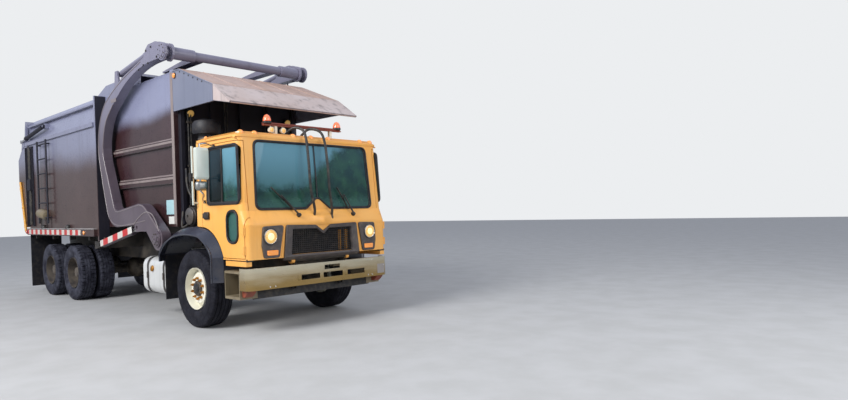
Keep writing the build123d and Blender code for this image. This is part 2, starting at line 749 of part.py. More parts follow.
# Roof cap over the cab
roof_low = cab_sections[-1][0]
roof_rows = (
    (roof_low, cab_back - 25, 1180, cab_half + 5, 95),
    (roof_low + 28, cab_back - 25, 1180, cab_half + 5, 95),
    (roof_low + 75, cab_back + 110, 1130, cab_half - 90, 95),
)
with BuildPart() as cab_roof:
    slices = []
    for z, back, front, half, corner in roof_rows:
        with BuildSketch(level(z)) as section:
            with Locations(((back + front) / 2, 0)):
                RectangleRounded(front - back, 2 * half, corner)
        slices.append(section.sketch)
    loft(slices, ruled=True)
cab_roof.part.label = "cab_roof"
export_step(cab_roof.part, "parts/cab_roof.step")

# Cab glass: sloped windshield and rear window in their openings
with BuildPart() as cab_glass:
    pane = [(1252 - 12, glass_low), (1252 - 12 - glass_t, glass_low), (1172 - 12 - glass_t, 2545),
            (1172 - 12, 2545)]
    extrude(outline(side(1000), pane), amount=2000)
    extrude(outline(across(1080), windshield, 90), amount=300, mode=Mode.INTERSECT)
    extrude(outline(across(cab_back + 20), rear_window, 60), amount=glass_t)
cab_glass.part.label = "cab_glass"
export_step(cab_glass.part, "parts/cab_glass.step")

# Grille: surround with upright bars, in the opening of the cab's face
with BuildPart() as grille:
    extrude(outline(across(cab_face - 40), grille_hole), amount=52)
    inner = [(-500, 1050), (500, 1050), (475, 1350), (110, 1340), (0, 1340 - grille_notch), (-110, 1340),
             (-475, 1350)]
    extrude(outline(across(cab_face - 41), inner), amount=60, mode=Mode.SUBTRACT)
    for bar in range(-6, 7):
        block((cab_face - 32, cab_face - 18), (bar * 72 - 5, bar * 72 + 5), (1045, 1360 - grille_notch))
    for slat in range(9):
        z = 1075 + slat * 28
        block((cab_face - 28, cab_face - 12), (-495, 495), (z - 4, z + 4))
grille.part.label = "grille"
export_step(grille.part, "parts/grille.step")

# Lamp panels with round headlamps and amber lamps
lamp_y = cab_half - 336
with BuildPart() as headlamps:
    panel = [(lamp_y - 150, 990), (lamp_y + 96, 990), (lamp_y + 120, 1180), (lamp_y + 110, 1390),
             (lamp_y - 225, 1405)]
    extrude(outline(across(cab_face), panel, 40), amount=14)
    with BuildSketch(across(cab_face + 13)) as lamp:
        with Locations((lamp_y, 1273)):
            Circle(105)
    extrude(lamp.sketch, amount=front_overhang - cab_face - 13)
    block((cab_face + 13, cab_face + 26), (lamp_y - 110, lamp_y + 40), (1035, 1090))
    mirror(about=Plane.XZ)
headlamps.part.label = "headlamps"
export_step(headlamps.part, "parts/headlamps.step")

# Beacon bar and marker lamps on the roof
roof_high = roof_rows[-1][0]
with BuildPart() as roof_lamps:
    rod((960, -660, 2775), (960, 660, 2775), 18)
    for s in (-1, 1):
        rod((960, s * 470, roof_high + seat_gap), (960, s * 470, 2775), 14)
        rod((960, s * 600, 2775), (960, s * 600, 2905), 48)
    for y in (-930, -300, 0, 300, 930):
        rod((1100, y, roof_high + seat_gap), (1100, y, roof_high + 40), 24)
roof_lamps.part.label = "roof_lamps"
export_step(roof_lamps.part, "parts/roof_lamps.step")

# Seats on the rear floor
with BuildPart() as seats:
    for y in (-seat_y, seat_y):
        block((240, 640), (y - seat_half + 40, y + seat_half - 40), (seat_floor + seat_gap, seat_floor + 90))
        cushion = [(200, 1570), (680, 1570), (700, 1690), (300, 1680), (260, 2280), (180, 2270)]
        extrude(outline(side(y + seat_half), cushion), amount=2 * seat_half)
seats.part.label = "seats"
export_step(seats.part, "parts/seats.step")

# Dashboard with the steering column and wheel on the left
with BuildPart() as dashboard:
    dash = [(1279, 1250), (1279, 1418), (1206, 1585), (1120, 1600), (1000, 1540), (980, 1420), (1080, 1250)]
    extrude(outline(side(dash_half), dash), amount=2 * dash_half)
    block((cab_back, 1180 + seat_gap), (-tunnel_half - seat_gap, tunnel_half + seat_gap),
          (1000, 1580 + seat_gap), Mode.SUBTRACT)
    rod((1080, seat_y, 1520), (900, seat_y, 1850), 30)
    hub = Vector(axle_x + 900, seat_y, 1850)
    tilt = Plane(origin=hub, z_dir=Vector(-180, 0, 330))
    with BuildSketch(tilt) as steering_wheel:
        Circle(230)
        Circle(200, mode=Mode.SUBTRACT)
        Rectangle(410, 40)
    extrude(steering_wheel.sketch, amount=28)
dashboard.part.label = "dashboard"
export_step(dashboard.part, "parts/dashboard.step")

# Doors, their glass and mirrors
for s, hand in ((-1, "right"), (1, "left")):
    start_y = s * (cab_half + 50)
    depth = s * (50 + door_depth)
    with BuildPart() as door:
        add(cab_outside.part)
        add(cab_inside.part, mode=Mode.SUBTRACT)
        extrude(door_profile(start_y, 0), amount=depth, mode=Mode.INTERSECT)
        extrude(arch_face(start_y, arch_pad + 6, 900), amount=depth, mode=Mode.SUBTRACT)
        extrude(outline(side(start_y), window_outline, 60), amount=depth, mode=Mode.SUBTRACT)
        extrude(outline(side(start_y), porthole, 120), amount=depth, mode=Mode.SUBTRACT)
        handle = sorted((s * (cab_half - 2), s * (cab_half + 28)))
        block((330, 460), handle, (1520, 1580))
        for z in hinge_heights:
            with Locations((axle_x + hinge_x, s * hinge_y, z)):
                Cylinder(hinge_r, hinge_length)
    door.part.label = f"door_{hand}"
    export_step(door.part, f"parts/door_{hand}.step")
    with BuildPart() as door_glass:
        pane_y = s * (cab_half - 20)
        extrude(outline(side(pane_y), window_outline, 60), amount=s * glass_t)
        extrude(outline(side(pane_y), porthole, 120), amount=s * glass_t)
    door_glass.part.label = f"door_glass_{hand}"
    export_step(door_glass.part, f"parts/door_glass_{hand}.step")
    with BuildPart() as mirror_part:
        mirror_y = cab_half + 260
        head = sorted((s * (mirror_y - 95), s * (mirror_y + 95)))
        block((745, 815), head, (2010, 2420))
        block((745, 810), sorted((s * (mirror_y - 85), s * (mirror_y + 85))), (1870, 1990))
        rod((738, s * mirror_y, 1860), (738, s * mirror_y, 2470), 14)
        foot = sorted((s * (cab_half + seat_gap), s * (cab_half + 12)))
        for x, z, top in ((620, 2465, 2465), (345, 1740, 1865)):
            block((x - 25, x + 25), foot, (z - 20, z + 20))
            rod((738, s * mirror_y, top), (x, s * (cab_half + 8), z), 12)
    mirror_part.part.label = f"mirror_{hand}"
    export_step(mirror_part.part, f"parts/mirror_{hand}.step")

# Lift arms: C-shaped box beams with forked lugs, tips that hold the cross tube, and their shaft.
# The upper beam's inner edge is an arc about the pivot, so it clears the cab's roof as the arms swing over.
inner_top = pivot_z + cab_clear_r
inner_end = (-2500, pivot_z + (cab_clear_r**2 - (2500 + pivot_x) ** 2) ** 0.5)
with BuildPart() as lift_arms:
    with BuildSketch(side(arm_out)) as arm_face:
        with BuildLine():
            Line((-760, inner_top), (pivot_x, inner_top))
            RadiusArc((pivot_x, inner_top), inner_end, -cab_clear_r)
            ThreePointArc(inner_end, (-2880, 3150), (-3020, 2750))
            Polyline((-3020, 2750), (-2995, 2550), (-2680, 1850))
            ThreePointArc((-2680, 1850), (-2610, 1720), (-2480, 1675))
            Line((-2480, 1675), (-1800, 1752))
            ThreePointArc((-1800, 1752), (-1600, 1760), (-1420, 1690))
            Polyline((-1420, 1690), (-950, 1358), (-950, 1150), (-1160, 1090), (-1430, 1340), (-1430, 1480),
                     (-1860, 1480), (-1860, 1440), (-2000, 1425), (-2480, 1405))
            ThreePointArc((-2480, 1405), (-2800, 1490), (-2960, 1690))
            Line((-2960, 1690), (-3195, 2430))
            ThreePointArc((-3195, 2430), (-3255, 2800), (-3150, 3200))
            ThreePointArc((-3150, 3200), (-2960, 3440), (-2700, 3595))
            Polyline((-2700, 3595), (-2170, 3797), (-1250, 3990), (-700, 4005), (-620, 3900),
                     (-760, inner_top))
        make_face()
    extrude(arm_face.sketch, amount=arm_t)
    bar_across(pivot_x, pivot_z, arm_end_r, arm_in, arm_out)
    bar_across(pivot_x, pivot_z, arm_end_r - 45, arm_out, arm_out + 18)
    tip = [(-1420, inner_top - 15), (-1300, 4005), (-1230, 4095), (-1150, 4140), (-900, 4140),
           (-700, 4085), (-575, 4000), (-575, 3900), (-700, inner_top + 5), (-1000, inner_top + 5)]
    lug = [(-1880, 1490), (-1850, 1380), (lug_x, lug_z - lug_r + 7), (-1430, 1335), (-1400, 1490)]
    foot = [(-2460, 3660), (fork_base_x - 50, fork_base_z + 45), (fork_base_x + 40, fork_base_z + 45),
            (-2280, 3740)]
    for y in (arm_out, arm_in + arm_cheek):
        extrude(outline(side(y), tip), amount=arm_cheek)
        extrude(outline(side(y), lug), amount=arm_cheek)
        extrude(outline(side(y), foot), amount=arm_cheek)
        bar_across(tube_x, tube_z, arm_tip_r, y - arm_cheek, y)
        bar_across(lug_x, lug_z, lug_r, y - arm_cheek, y)
    room = (arm_mid - arm_t / 2 + arm_cheek, arm_mid + arm_t / 2 - arm_cheek)
    bar_across(tube_x, tube_z, crank_r + 20, *room, Mode.SUBTRACT)
    bar_across(tube_x, tube_z, stub_r + running, arm_in - 1, arm_out + 1, Mode.SUBTRACT)
    bar_across(lug_x, lug_z, pin_r, arm_in - 1, arm_out + 1, Mode.SUBTRACT)
    bar_across(fork_base_x, fork_base_z, fork_pin_r, arm_in, arm_out)
    mirror(about=Plane.XZ)
    bar_across(pivot_x, pivot_z, pivot_r, -arm_in - 1, arm_in + 1)
lift_arms.part.label = "lift_arms"
export_step(lift_arms.part, "parts/lift_arms.step")

# Fork frame: cross tube in the arms' tips, cranks between their cheeks, and two forks
tube_end = arm_in - 5
with BuildPart() as fork_frame:
    bar_across(tube_x, tube_z, tube_r, -tube_end, tube_end)
    bar_across(tube_x, tube_z, stub_r, tube_end - 5, arm_out + 15)
    bar_across(tube_x, tube_z, collar_r, tube_end - 340, tube_end)
    bar_across(tube_x, tube_z, stub_r + 25, arm_out + seat_gap, arm_out + 15)
    crank = [(tube_x - 55, tube_z - 60), (tube_x + 60, tube_z + 55), (crank_x + 25, crank_z + 30),
             (crank_x - 30, crank_z - 25)]
    for low in (arm_mid - 38, arm_mid + 27):
        high = low + 11
        bar_across(tube_x, tube_z, 85, low, high)
        bar_across(crank_x, crank_z, 40, low, high)
        extrude(outline(side(high), crank), amount=high - low)
        bar_across(crank_x, crank_z, crank_pin_r, low, high, Mode.SUBTRACT)
    fork_low = tube_z - 50
    fork = [(tube_x + 30, fork_low), (tube_x + 60, fork_low + 55), (tube_x, fork_low + 115),
            (tube_x - 120, fork_low + 105), (tube_x - fork_length, fork_low + fork_tip),
            (tube_x - fork_length, fork_low)]
    extrude(outline(side(fork_in + fork_w), fork), amount=fork_w)
    mirror(about=Plane.XZ)
fork_frame.part.label = "fork_frame"
export_step(fork_frame.part, "parts/fork_frame.step")


def ram_rod(base, eye, middle, start, end, radius, mode=Mode.ADD):
    """Round length of a ram on the line from its base pin to its rod's eye."""
    low = along(base, eye, start)
    high = along(base, eye, end)
    rod((low[0], middle, low[1]), (high[0], middle, high[1]), radius, mode)


# Rams: name, base pin, rod's eye, middle, half eye, barrel radius, rod radius, barrel length, pin radii
rams = (
    ("lift", (lift_base_x, lift_base_z), (lug_x, lug_z), arm_mid, 34, 62, 32, 1340, pin_r, pin_r),
    ("fork", (fork_base_x, fork_base_z), (crank_x, crank_z), arm_mid, 22, 45, 24, 1040, fork_pin_r,
     crank_pin_r),
    ("gate", (gate_base_x, gate_base_z), (gate_lug_x, gate_lug_z), gate_ram_y, 15, 40, 20, 1200, gate_pin_r,
     gate_pin_r),
)
for name, base, eye, middle, half, barrel_r, rod_r, length, base_pin, eye_pin in rams:
    reach = hypot(eye[0] - base[0], eye[1] - base[1])
    with BuildPart() as barrel:
        ram_rod(base, eye, middle, base_pin + 12, base_pin + 70, half - 2)
        ram_rod(base, eye, middle, base_pin + 60, length, barrel_r)
        ram_rod(base, eye, middle, length - 60, length, barrel_r + 6)
        bar_across(*base, base_pin + 22, middle - half, middle + half)
        ram_rod(base, eye, middle, base_pin + 80, length + 1, rod_r + running, Mode.SUBTRACT)
        bar_across(*base, base_pin + running, middle - barrel_r - 1, middle + barrel_r + 1, Mode.SUBTRACT)
        mirror(about=Plane.XZ)
    barrel.part.label = f"{name}_barrels"
    export_step(barrel.part, f"parts/{name}_barrels.step")
    with BuildPart() as ram_piston:
        ram_rod(base, eye, middle, base_pin + 90, reach - eye_pin - 10, rod_r)
        bar_across(*eye, eye_pin + 20, middle - half, middle + half)
        bar_across(*eye, eye_pin + running, middle - half - 1, middle + half + 1, Mode.SUBTRACT)
        mirror(about=Plane.XZ)
    ram_piston.part.label = f"{name}_rods"
    export_step(ram_piston.part, f"parts/{name}_rods.step")

# Tailgate: hollow bulged door hinged at the roof, with ram lugs and a prop bar on the right
gate_front = body_back - seat_gap
with BuildPart() as tailgate:
    bulge = [(gate_front, body_roof), (-7600, 3300), (-8100, 2900), (-8100, 2350), (-7900, 1750),
             (-7720, floor_low), (gate_front, floor_low)]
    extrude(outline(side(body_half), bulge), amount=2 * body_half)
    hollow = [(gate_front + 1, 3650), (-7552, 3275), (-8050, 2875), (-8050, 2360), (-7856, 1765),
              (-7688, floor_top), (gate_front + 1, floor_top)]
    extrude(outline(side(body_half - wall), hollow), amount=2 * (body_half - wall), mode=Mode.SUBTRACT)
    ear = [(-7560, 3480), (-7560, gate_hinge_z + 30), (gate_hinge_x, gate_hinge_z + 42),
           (gate_hinge_x, gate_hinge_z - 42), (body_back - 5, gate_hinge_z - 75), (body_back - 5, 3650)]
    extrude(outline(side(830), ear), amount=60)
    bar_across(gate_hinge_x, gate_hinge_z, 42, 770, 830)
    bar_across(gate_hinge_x, gate_hinge_z, gate_hinge_r + running, 765, 835, Mode.SUBTRACT)
    lug = [(-7560, 3200), (-7640, 3330), (-7740, 3330), (-7800, 3120)]
    extrude(outline(side(body_half + 10), lug), amount=30)
    bar_across(gate_lug_x, gate_lug_z, gate_pin_r, body_half, body_half + 11, Mode.SUBTRACT)
    mirror(about=Plane.XZ)
    prop_y = -body_half - 18
    rod((-7950, prop_y, 2420), (-7650, prop_y, 1300), 15)
    for x, z in ((-7930, 2345), (-7700, 1487)):
        block((x - 20, x + 20), (prop_y, -body_half + 5), (z - 20, z + 20))
tailgate.part.label = "tailgate"
export_step(tailgate.part, "parts/tailgate.step")

# Grab rails at the cab's rear corners
with BuildPart() as grab_rails:
    rail_y = cab_half + 65
    rod((150, rail_y, 1700), (150, rail_y, 2500), 16)
    for z in (1730, 2470):
        wall_y = cab_half - 15 * (z - glass_low) / (roof_low - glass_low)
        rod((150, rail_y, z), (150, wall_y + 2 * seat_gap, z), 14)
    mirror(about=Plane.XZ)
grab_rails.part.label = "grab_rails"
export_step(grab_rails.part, "parts/grab_rails.step")
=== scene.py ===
import math

import bmesh
import bpy
from mathutils import Matrix, Vector


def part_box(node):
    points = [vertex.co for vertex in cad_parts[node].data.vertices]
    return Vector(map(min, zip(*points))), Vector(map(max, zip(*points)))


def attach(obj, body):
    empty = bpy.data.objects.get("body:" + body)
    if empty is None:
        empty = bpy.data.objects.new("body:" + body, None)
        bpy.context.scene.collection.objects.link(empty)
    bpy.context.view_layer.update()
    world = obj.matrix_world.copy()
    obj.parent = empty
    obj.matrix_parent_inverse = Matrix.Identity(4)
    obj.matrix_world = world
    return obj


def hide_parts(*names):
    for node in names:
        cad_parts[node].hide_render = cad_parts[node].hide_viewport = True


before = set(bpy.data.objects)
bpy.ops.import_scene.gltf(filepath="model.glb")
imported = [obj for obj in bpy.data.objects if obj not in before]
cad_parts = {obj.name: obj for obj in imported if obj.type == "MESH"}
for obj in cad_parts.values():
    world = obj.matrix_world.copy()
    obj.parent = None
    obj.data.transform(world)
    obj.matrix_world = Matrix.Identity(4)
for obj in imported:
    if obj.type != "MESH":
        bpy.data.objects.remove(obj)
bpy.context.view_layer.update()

# Places are given from the front axle, in metres: x forward, y to the truck's left, z up.
# The photograph shows the truck's right side, where y is negative.


def middle(node):
    """Middle of a CAD node's box."""
    low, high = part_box(node)
    return (low + high) / 2


AXLE_X = middle("front_tyre_right").x
RIGHT, LEFT = -1, 1
SIDES = ((RIGHT, "right"), (LEFT, "left"))
AHEAD, OUT, UP = (1, 0, 0), (0, 1, 0), (0, 0, 1)


def at(x, y, z):
    """Point in the shared frame from a point given from the front axle."""
    return Vector((AXLE_X + x, y, z))


# Camera, fitted to the photograph
CAMERA_PLACE = (8.207, -5.342, 1.55)
CAMERA_YAW, CAMERA_PITCH, CAMERA_ROLL = math.radians(132.868), math.radians(-1.068), math.radians(1.511)
FOCAL_PIXELS = 621.7
IMAGE_WIDTH = 848
CENTRE_BELOW_MIDDLE = 21.7
SENSOR_WIDTH = 36


def make_camera():
    """Camera at the photograph's place and angle."""
    level = math.cos(CAMERA_PITCH)
    forward = Vector((math.cos(CAMERA_YAW) * level, math.sin(CAMERA_YAW) * level, math.sin(CAMERA_PITCH)))
    level_right = forward.cross(Vector(UP)).normalized()
    level_up = level_right.cross(forward)
    right = math.cos(CAMERA_ROLL) * level_right - math.sin(CAMERA_ROLL) * level_up
    up = math.sin(CAMERA_ROLL) * level_right + math.cos(CAMERA_ROLL) * level_up
    data = bpy.data.cameras.new("camera")
    data.sensor_width = SENSOR_WIDTH
    data.lens = FOCAL_PIXELS / IMAGE_WIDTH * SENSOR_WIDTH
    data.shift_y = CENTRE_BELOW_MIDDLE / IMAGE_WIDTH
    data.clip_end = 200
    camera = bpy.data.objects.new("camera", data)
    turn = Matrix((right, up, -forward)).transposed().to_4x4()
    camera.matrix_world = Matrix.Translation(at(*CAMERA_PLACE)) @ turn
    bpy.context.scene.collection.objects.link(camera)
    bpy.context.scene.camera = camera


# Shader helpers


def srgb(red, green_reflection, blue):
    """Linear colour with alpha from sRGB values of 0 to 255."""
    def linear(v):
        v /= 255
        return v / 12.92 if v <= 0.04045 else ((v + 0.055) / 1.055) ** 2.4
    return linear(red), linear(green_reflection), linear(blue), 1.0


class Shader:
    """Node tree of a material or world, built by short calls."""

    def __init__(self, owner, output="ShaderNodeOutputMaterial", coordinates="Object"):
        owner.use_nodes = True
        self.owner = owner
        self.tree = owner.node_tree
        self.tree.nodes.clear()
        self.output = self.node(output)
        self.place = self.node("ShaderNodeTexCoord").outputs[coordinates]

    def node(self, kind, inputs=None, **settings):
        """New node with its settings, and its inputs set or linked."""
        made = self.tree.nodes.new(kind)
        for key, value in settings.items():
            setattr(made, key, value)
        for key, value in (inputs or {}).items():
            self.feed(made.inputs[key], value)
        return made

    def feed(self, socket, value):
        """Links a socket, or sets a number or colour."""
        if isinstance(value, bpy.types.NodeSocket):
            self.tree.links.new(value, socket)
        else:
            socket.default_value = value

    def maths(self, operation, a, b=0.0, clamp=False):
        """Result of a maths node."""
        return self.node("ShaderNodeMath", {0: a, 1: b}, operation=operation, use_clamp=clamp).outputs[0]

    def plus(self, a, b, clamp=False):
        """Sum."""
        return self.maths("ADD", a, b, clamp)

    def times(self, a, b):
        """Product."""
        return self.maths("MULTIPLY", a, b)

    def noise(self, scale, detail=4, rough=0.55, stretch=(1, 1, 1), shift=(0, 0, 0)):
        """Noise from 0 to 1 over the shared frame, scale in cells a metre."""
        place = self.node("ShaderNodeMapping", {"Vector": self.place, "Scale": stretch, "Location": shift})
        inputs = {"Vector": place.outputs[0], "Scale": scale, "Detail": detail, "Roughness": rough}
        return self.node("ShaderNodeTexNoise", inputs).outputs["Fac"]

    def ramp(self, value, low, high):
        """Value mapped smoothly from low..high to 0..1."""
        inputs = {"Value": value, "From Min": low, "From Max": high}
        return self.node("ShaderNodeMapRange", inputs, interpolation_type="SMOOTHSTEP").outputs["Result"]

    def mix(self, share, a, b):
        """Colour mixed from a to b, each a socket or sRGB values of 0 to 255."""
        made = self.node("ShaderNodeMix", {0: share}, data_type="RGBA")
        for socket, colour in ((6, a), (7, b)):
            self.feed(made.inputs[socket], srgb(*colour) if isinstance(colour, tuple) else colour)
        return made.outputs[2]

    def axis(self, index):
        """One coordinate."""
        return self.node("ShaderNodeSeparateXYZ", {0: self.place}).outputs[index]

    def soft_edges(self, radius):
        """Normal with softened edges."""
        return self.node("ShaderNodeBevel", {"Radius": radius}, samples=4).outputs[0]

    def bump(self, height, strength, distance, normal=None):
        """Bumped normal."""
        inputs = {"Height": height, "Strength": strength, "Distance": distance}
        if normal is not None:
            inputs["Normal"] = normal
        return self.node("ShaderNodeBump", inputs).outputs[0]

    def end(self, shader):
        """Links the last shader to the output and gives back the material or world."""
        self.tree.links.new(shader.outputs[0], self.output.inputs[0])
        return self.owner

    def finish(self, **inputs):
        """Ends the tree in a Principled shader. Names use _ for a space."""
        named = {key.replace("_", " "): value for key, value in inputs.items()}
        return self.end(self.node("ShaderNodeBsdfPrincipled", named))


def new_shader(name):
    """Shader of a new material."""
    return Shader(bpy.data.materials.new(name))


# Kinds of material, with colours as sRGB values of 0 to 255
DUST = (150, 136, 116)
RUST = (104, 58, 32)
GRIME = (26, 23, 21)


def worn_paint(name, colour, faded, rough, dust_top, dust, chips, streaks, coat, metal=0, painted_light_band=None):
    """Paint with faded patches, rain streaks, dust towards the ground, chips and softened edges.

    The last argument, when given, is a band of painted light towards the top: a painted sky reflection on the
    browns and painted shade on the cab's orange, given as colour, low height, high height and share."""
    s = new_shader(name)
    patches = s.ramp(s.noise(1.3, 5), 0.35, 0.7)
    tone = s.mix(s.times(patches, 0.55), colour, faded)
    # Painted light: a colour mixed in by height, a painted reflection on the browns and painted shade on the
    # orange.
    if painted_light_band:
        dust_and_painted_light, low, high, most = painted_light_band
        spread = min(0.4, 1.2 * (high - low))
        wave = s.times(s.plus(s.noise(0.8, 3, shift=(2, 5, 3)), -0.5), spread)
        painted_light_rise = s.ramp(s.plus(s.axis(2), wave), low, high)
        tone = s.mix(s.times(painted_light_rise, most), tone, dust_and_painted_light)
    lines = s.ramp(s.noise(9, 4, 0.6, (1, 1, 0.06)), 0.5, 0.78)
    tone = s.mix(s.times(lines, streaks), tone, GRIME)
    height = s.ramp(s.axis(2), dust_top, 0.2)
    cloud = s.ramp(s.noise(5, 6, 0.65, shift=(3, 1, 7)), 0.25, 0.75)
    dusty = s.times(s.times(cloud, 0.75), dust)
    dusty = s.times(dusty, s.plus(s.times(height, 0.85), 0.12))
    tone = s.mix(dusty, tone, DUST)
    spots = s.ramp(s.noise(38, 3, 0.7, shift=(5, 2, 9)), 0.70, 0.74)
    patch = s.ramp(s.noise(2.6, 4, 0.6, shift=(8, 8, 1)), 0.48, 0.66)
    chipped = s.times(s.times(spots, patch), chips)
    tone = s.mix(chipped, tone, RUST)
    grain = s.noise(60, 3, 0.6)
    dull = s.plus(rough, s.times(s.plus(dusty, chipped), 0.45), clamp=True)
    dull = s.plus(dull, s.times(s.plus(grain, -0.5), 0.10), clamp=True)
    dents = s.bump(s.noise(2.2, 2, 0.4), 0.12, 0.02, s.soft_edges(0.004))
    normal = s.bump(s.plus(grain, s.times(chipped, -2)), 0.06, 0.002, dents)
    return s.finish(Base_Color=tone, Roughness=dull, Metallic=metal, Coat_Weight=coat, Coat_Roughness=0.12,
                    Normal=normal)


def bare_metal(name, colour, stained, rough, stain):
    """Bright metal with brown stains and fine scratches."""
    s = new_shader(name)
    cloud = s.ramp(s.noise(4.5, 6, 0.65), 0.4, 0.72)
    fine = s.ramp(s.noise(26, 5, 0.7, shift=(4, 4, 4)), 0.45, 0.7)
    share = s.times(s.plus(s.times(cloud, 0.7), s.times(fine, 0.3)), stain)
    tone = s.mix(share, colour, stained)
    hair = s.noise(140, 2, 0.5)
    dull = s.plus(rough, s.plus(s.times(share, 0.35), s.times(hair, 0.1)))
    wavy = s.bump(s.noise(3.5, 2), 0.15, 0.01, s.soft_edges(0.003))
    return s.finish(Base_Color=tone, Roughness=dull, Metallic=1, Normal=s.bump(hair, 0.04, 0.001, wavy))


def graded_chrome(name):
    """Bumper chrome with a painted highlight along its top edge and brown below, partly tarnish and partly
    painted reflection, with a wavy line between them and tarnish spots.
    """
    s = new_shader(name)
    highlight_edge_noise = s.noise(3.5, 4, 0.55, (0.5, 0.5, 3))
    wave = s.times(s.plus(highlight_edge_noise, -0.5), 0.22)
    # Painted highlight: pale towards the top by height, with brown painted reflection and tarnish below.
    painted_light_rise = s.ramp(s.plus(s.axis(2), wave), 0.62, 0.88)
    tone = s.mix(painted_light_rise, (172, 144, 92), (232, 222, 194))
    spots = s.ramp(s.noise(16, 4, 0.6, (0.6, 0.6, 1.4), (4, 4, 4)), 0.60, 0.80)
    tone = s.mix(s.times(spots, 0.35), tone, (84, 62, 34))
    dull = s.plus(0.20, s.times(spots, 0.25))
    normal = s.bump(s.noise(2.2, 2, 0.4, (1, 1, 2)), 0.14, 0.02, s.soft_edges(0.006))
    return s.finish(Base_Color=tone, Roughness=dull, Metallic=1, Normal=normal)


def moulded(name, colour, worn, rough, dust, coat=0, grain=220):
    """Plastic or rubber with grain, dust and scuffs."""
    s = new_shader(name)
    cloud = s.ramp(s.noise(6, 5, 0.6), 0.35, 0.75)
    tone = s.mix(s.times(cloud, 0.5), colour, worn)
    dust_and_painted_light = s.times(s.ramp(s.noise(14, 6, 0.7, shift=(1, 6, 2)), 0.4, 0.8), dust)
    tone = s.mix(dust_and_painted_light, tone, DUST)
    dull = s.plus(rough, s.times(dust_and_painted_light, 0.4), clamp=True)
    normal = s.bump(s.noise(grain, 2, 0.5), 0.12, 0.001, s.soft_edges(0.003))
    return s.finish(Base_Color=tone, Roughness=dull, Coat_Weight=coat, Normal=normal)


def glossy_glass(name, colour, clear, dark_behind=None):
    """Green-blue tinted glass, thin enough to see through, with a painted reflection on its face: pale above
    a ragged dark green band.

    dark_behind is the place along the truck behind which a pane's painted reflection is dark."""
    s = new_shader(name)
    low, high = 1.6, 2.5
    haze = s.ramp(s.noise(1.6, 3, 0.5), 0.35, 0.7)
    tint = s.mix(s.times(haze, 0.3), colour, (120, 126, 122))
    see = s.node("ShaderNodeBsdfTransparent", {"Color": tint}).outputs[0]
    height, over = s.axis(2), s.axis(1)
    # Painted reflection: pale above, a ragged dark green band and a paler green low down, set as the shiny
    # face's colour.
    painted_reflection = s.mix(s.ramp(height, low, high), (70, 118, 120), (128, 184, 206))
    ragged = s.times(s.plus(s.noise(3.2, 6, 0.65, shift=(4, 0, 2)), -0.5), 0.55)
    slope = s.times(s.ramp(over, -0.35, 0.65), 0.62)
    tops = s.plus(s.plus(slope, ragged), low + 0.33)
    dark = s.ramp(s.maths("SUBTRACT", height, tops), 0.10, -0.12)
    green_reflection = s.mix(s.ramp(s.noise(5, 5, 0.6), 0.35, 0.7), (20, 52, 48), (48, 92, 62))
    painted_reflection = s.mix(s.times(dark, 0.85), painted_reflection, green_reflection)
    pale = s.ramp(s.plus(height, s.times(ragged, 0.4)), low + 0.24, low + 0.02)
    painted_reflection = s.mix(s.times(pale, 0.5), painted_reflection, (96, 146, 140))
    # Painted reflection: made dark behind the given place along the truck.
    if dark_behind is not None:
        back = s.ramp(s.axis(0), dark_behind + 0.004, dark_behind - 0.004)
        painted_reflection = s.mix(s.times(back, 0.9), painted_reflection, (14, 18, 28))
    shine = s.node("ShaderNodeBsdfPrincipled", {"Base Color": painted_reflection, "Roughness": 0.02, "IOR": 1.45})
    face = s.node("ShaderNodeFresnel", {"IOR": 1.45}).outputs[0]
    share = s.plus(1 - clear, s.times(face, 0.5), clamp=True)
    return s.end(s.node("ShaderNodeMixShader", {0: share, 1: see, 2: shine.outputs[0]}))


def lens(name, colour, glow, rough=0.12):
    """Coloured lamp lens with fine ribs, some with a lit bulb behind."""
    s = new_shader(name)
    inputs = {"Vector": s.place, "Scale": 18, "Distortion": 0.4}
    ribs = s.node("ShaderNodeTexWave", inputs, bands_direction="Z").outputs["Fac"]
    tone = s.mix(s.times(ribs, 0.25), colour, (255, 236, 200))
    cloud = s.ramp(s.noise(30, 3), 0.45, 0.8)
    tone = s.mix(s.times(cloud, 0.12), tone, DUST)
    return s.finish(Base_Color=tone, Roughness=rough, Emission_Color=tone, Emission_Strength=glow,
                    Coat_Weight=0.6, Coat_Roughness=0.05, Normal=s.bump(ribs, 0.3, 0.002))


def tape(name, pitch):
    """Red and white reflective tape, in blocks along the truck."""
    s = new_shader(name)
    red = s.maths("GREATER_THAN", s.maths("FRACT", s.maths("DIVIDE", s.axis(0), pitch)), 0.5)
    tone = s.mix(red, (214, 208, 200), (196, 26, 30))
    dirt = s.ramp(s.noise(12, 5), 0.45, 0.8)
    tone = s.mix(s.times(dirt, 0.35), tone, DUST)
    cells = s.node("ShaderNodeTexVoronoi", {"Vector": s.place, "Scale": 160}).outputs["Distance"]
    return s.finish(Base_Color=tone, Roughness=0.35, Coat_Weight=0.3, Normal=s.bump(cells, 0.2, 0.001))


def tread_rubber(name, colour, dusty):
    """Tyre rubber, paler with road dust on its walls."""
    s = new_shader(name)
    cloud = s.ramp(s.noise(7, 6, 0.65), 0.3, 0.75)
    tone = s.mix(s.times(cloud, dusty), colour, (98, 100, 114))
    scuff = s.ramp(s.noise(30, 5, 0.7, shift=(2, 3, 4)), 0.5, 0.8)
    tone = s.mix(s.times(scuff, 0.25), tone, (84, 78, 72))
    normal = s.bump(s.noise(180, 3, 0.6), 0.25, 0.002)
    return s.finish(Base_Color=tone, Roughness=0.78, Specular_IOR_Level=0.25, Normal=normal)


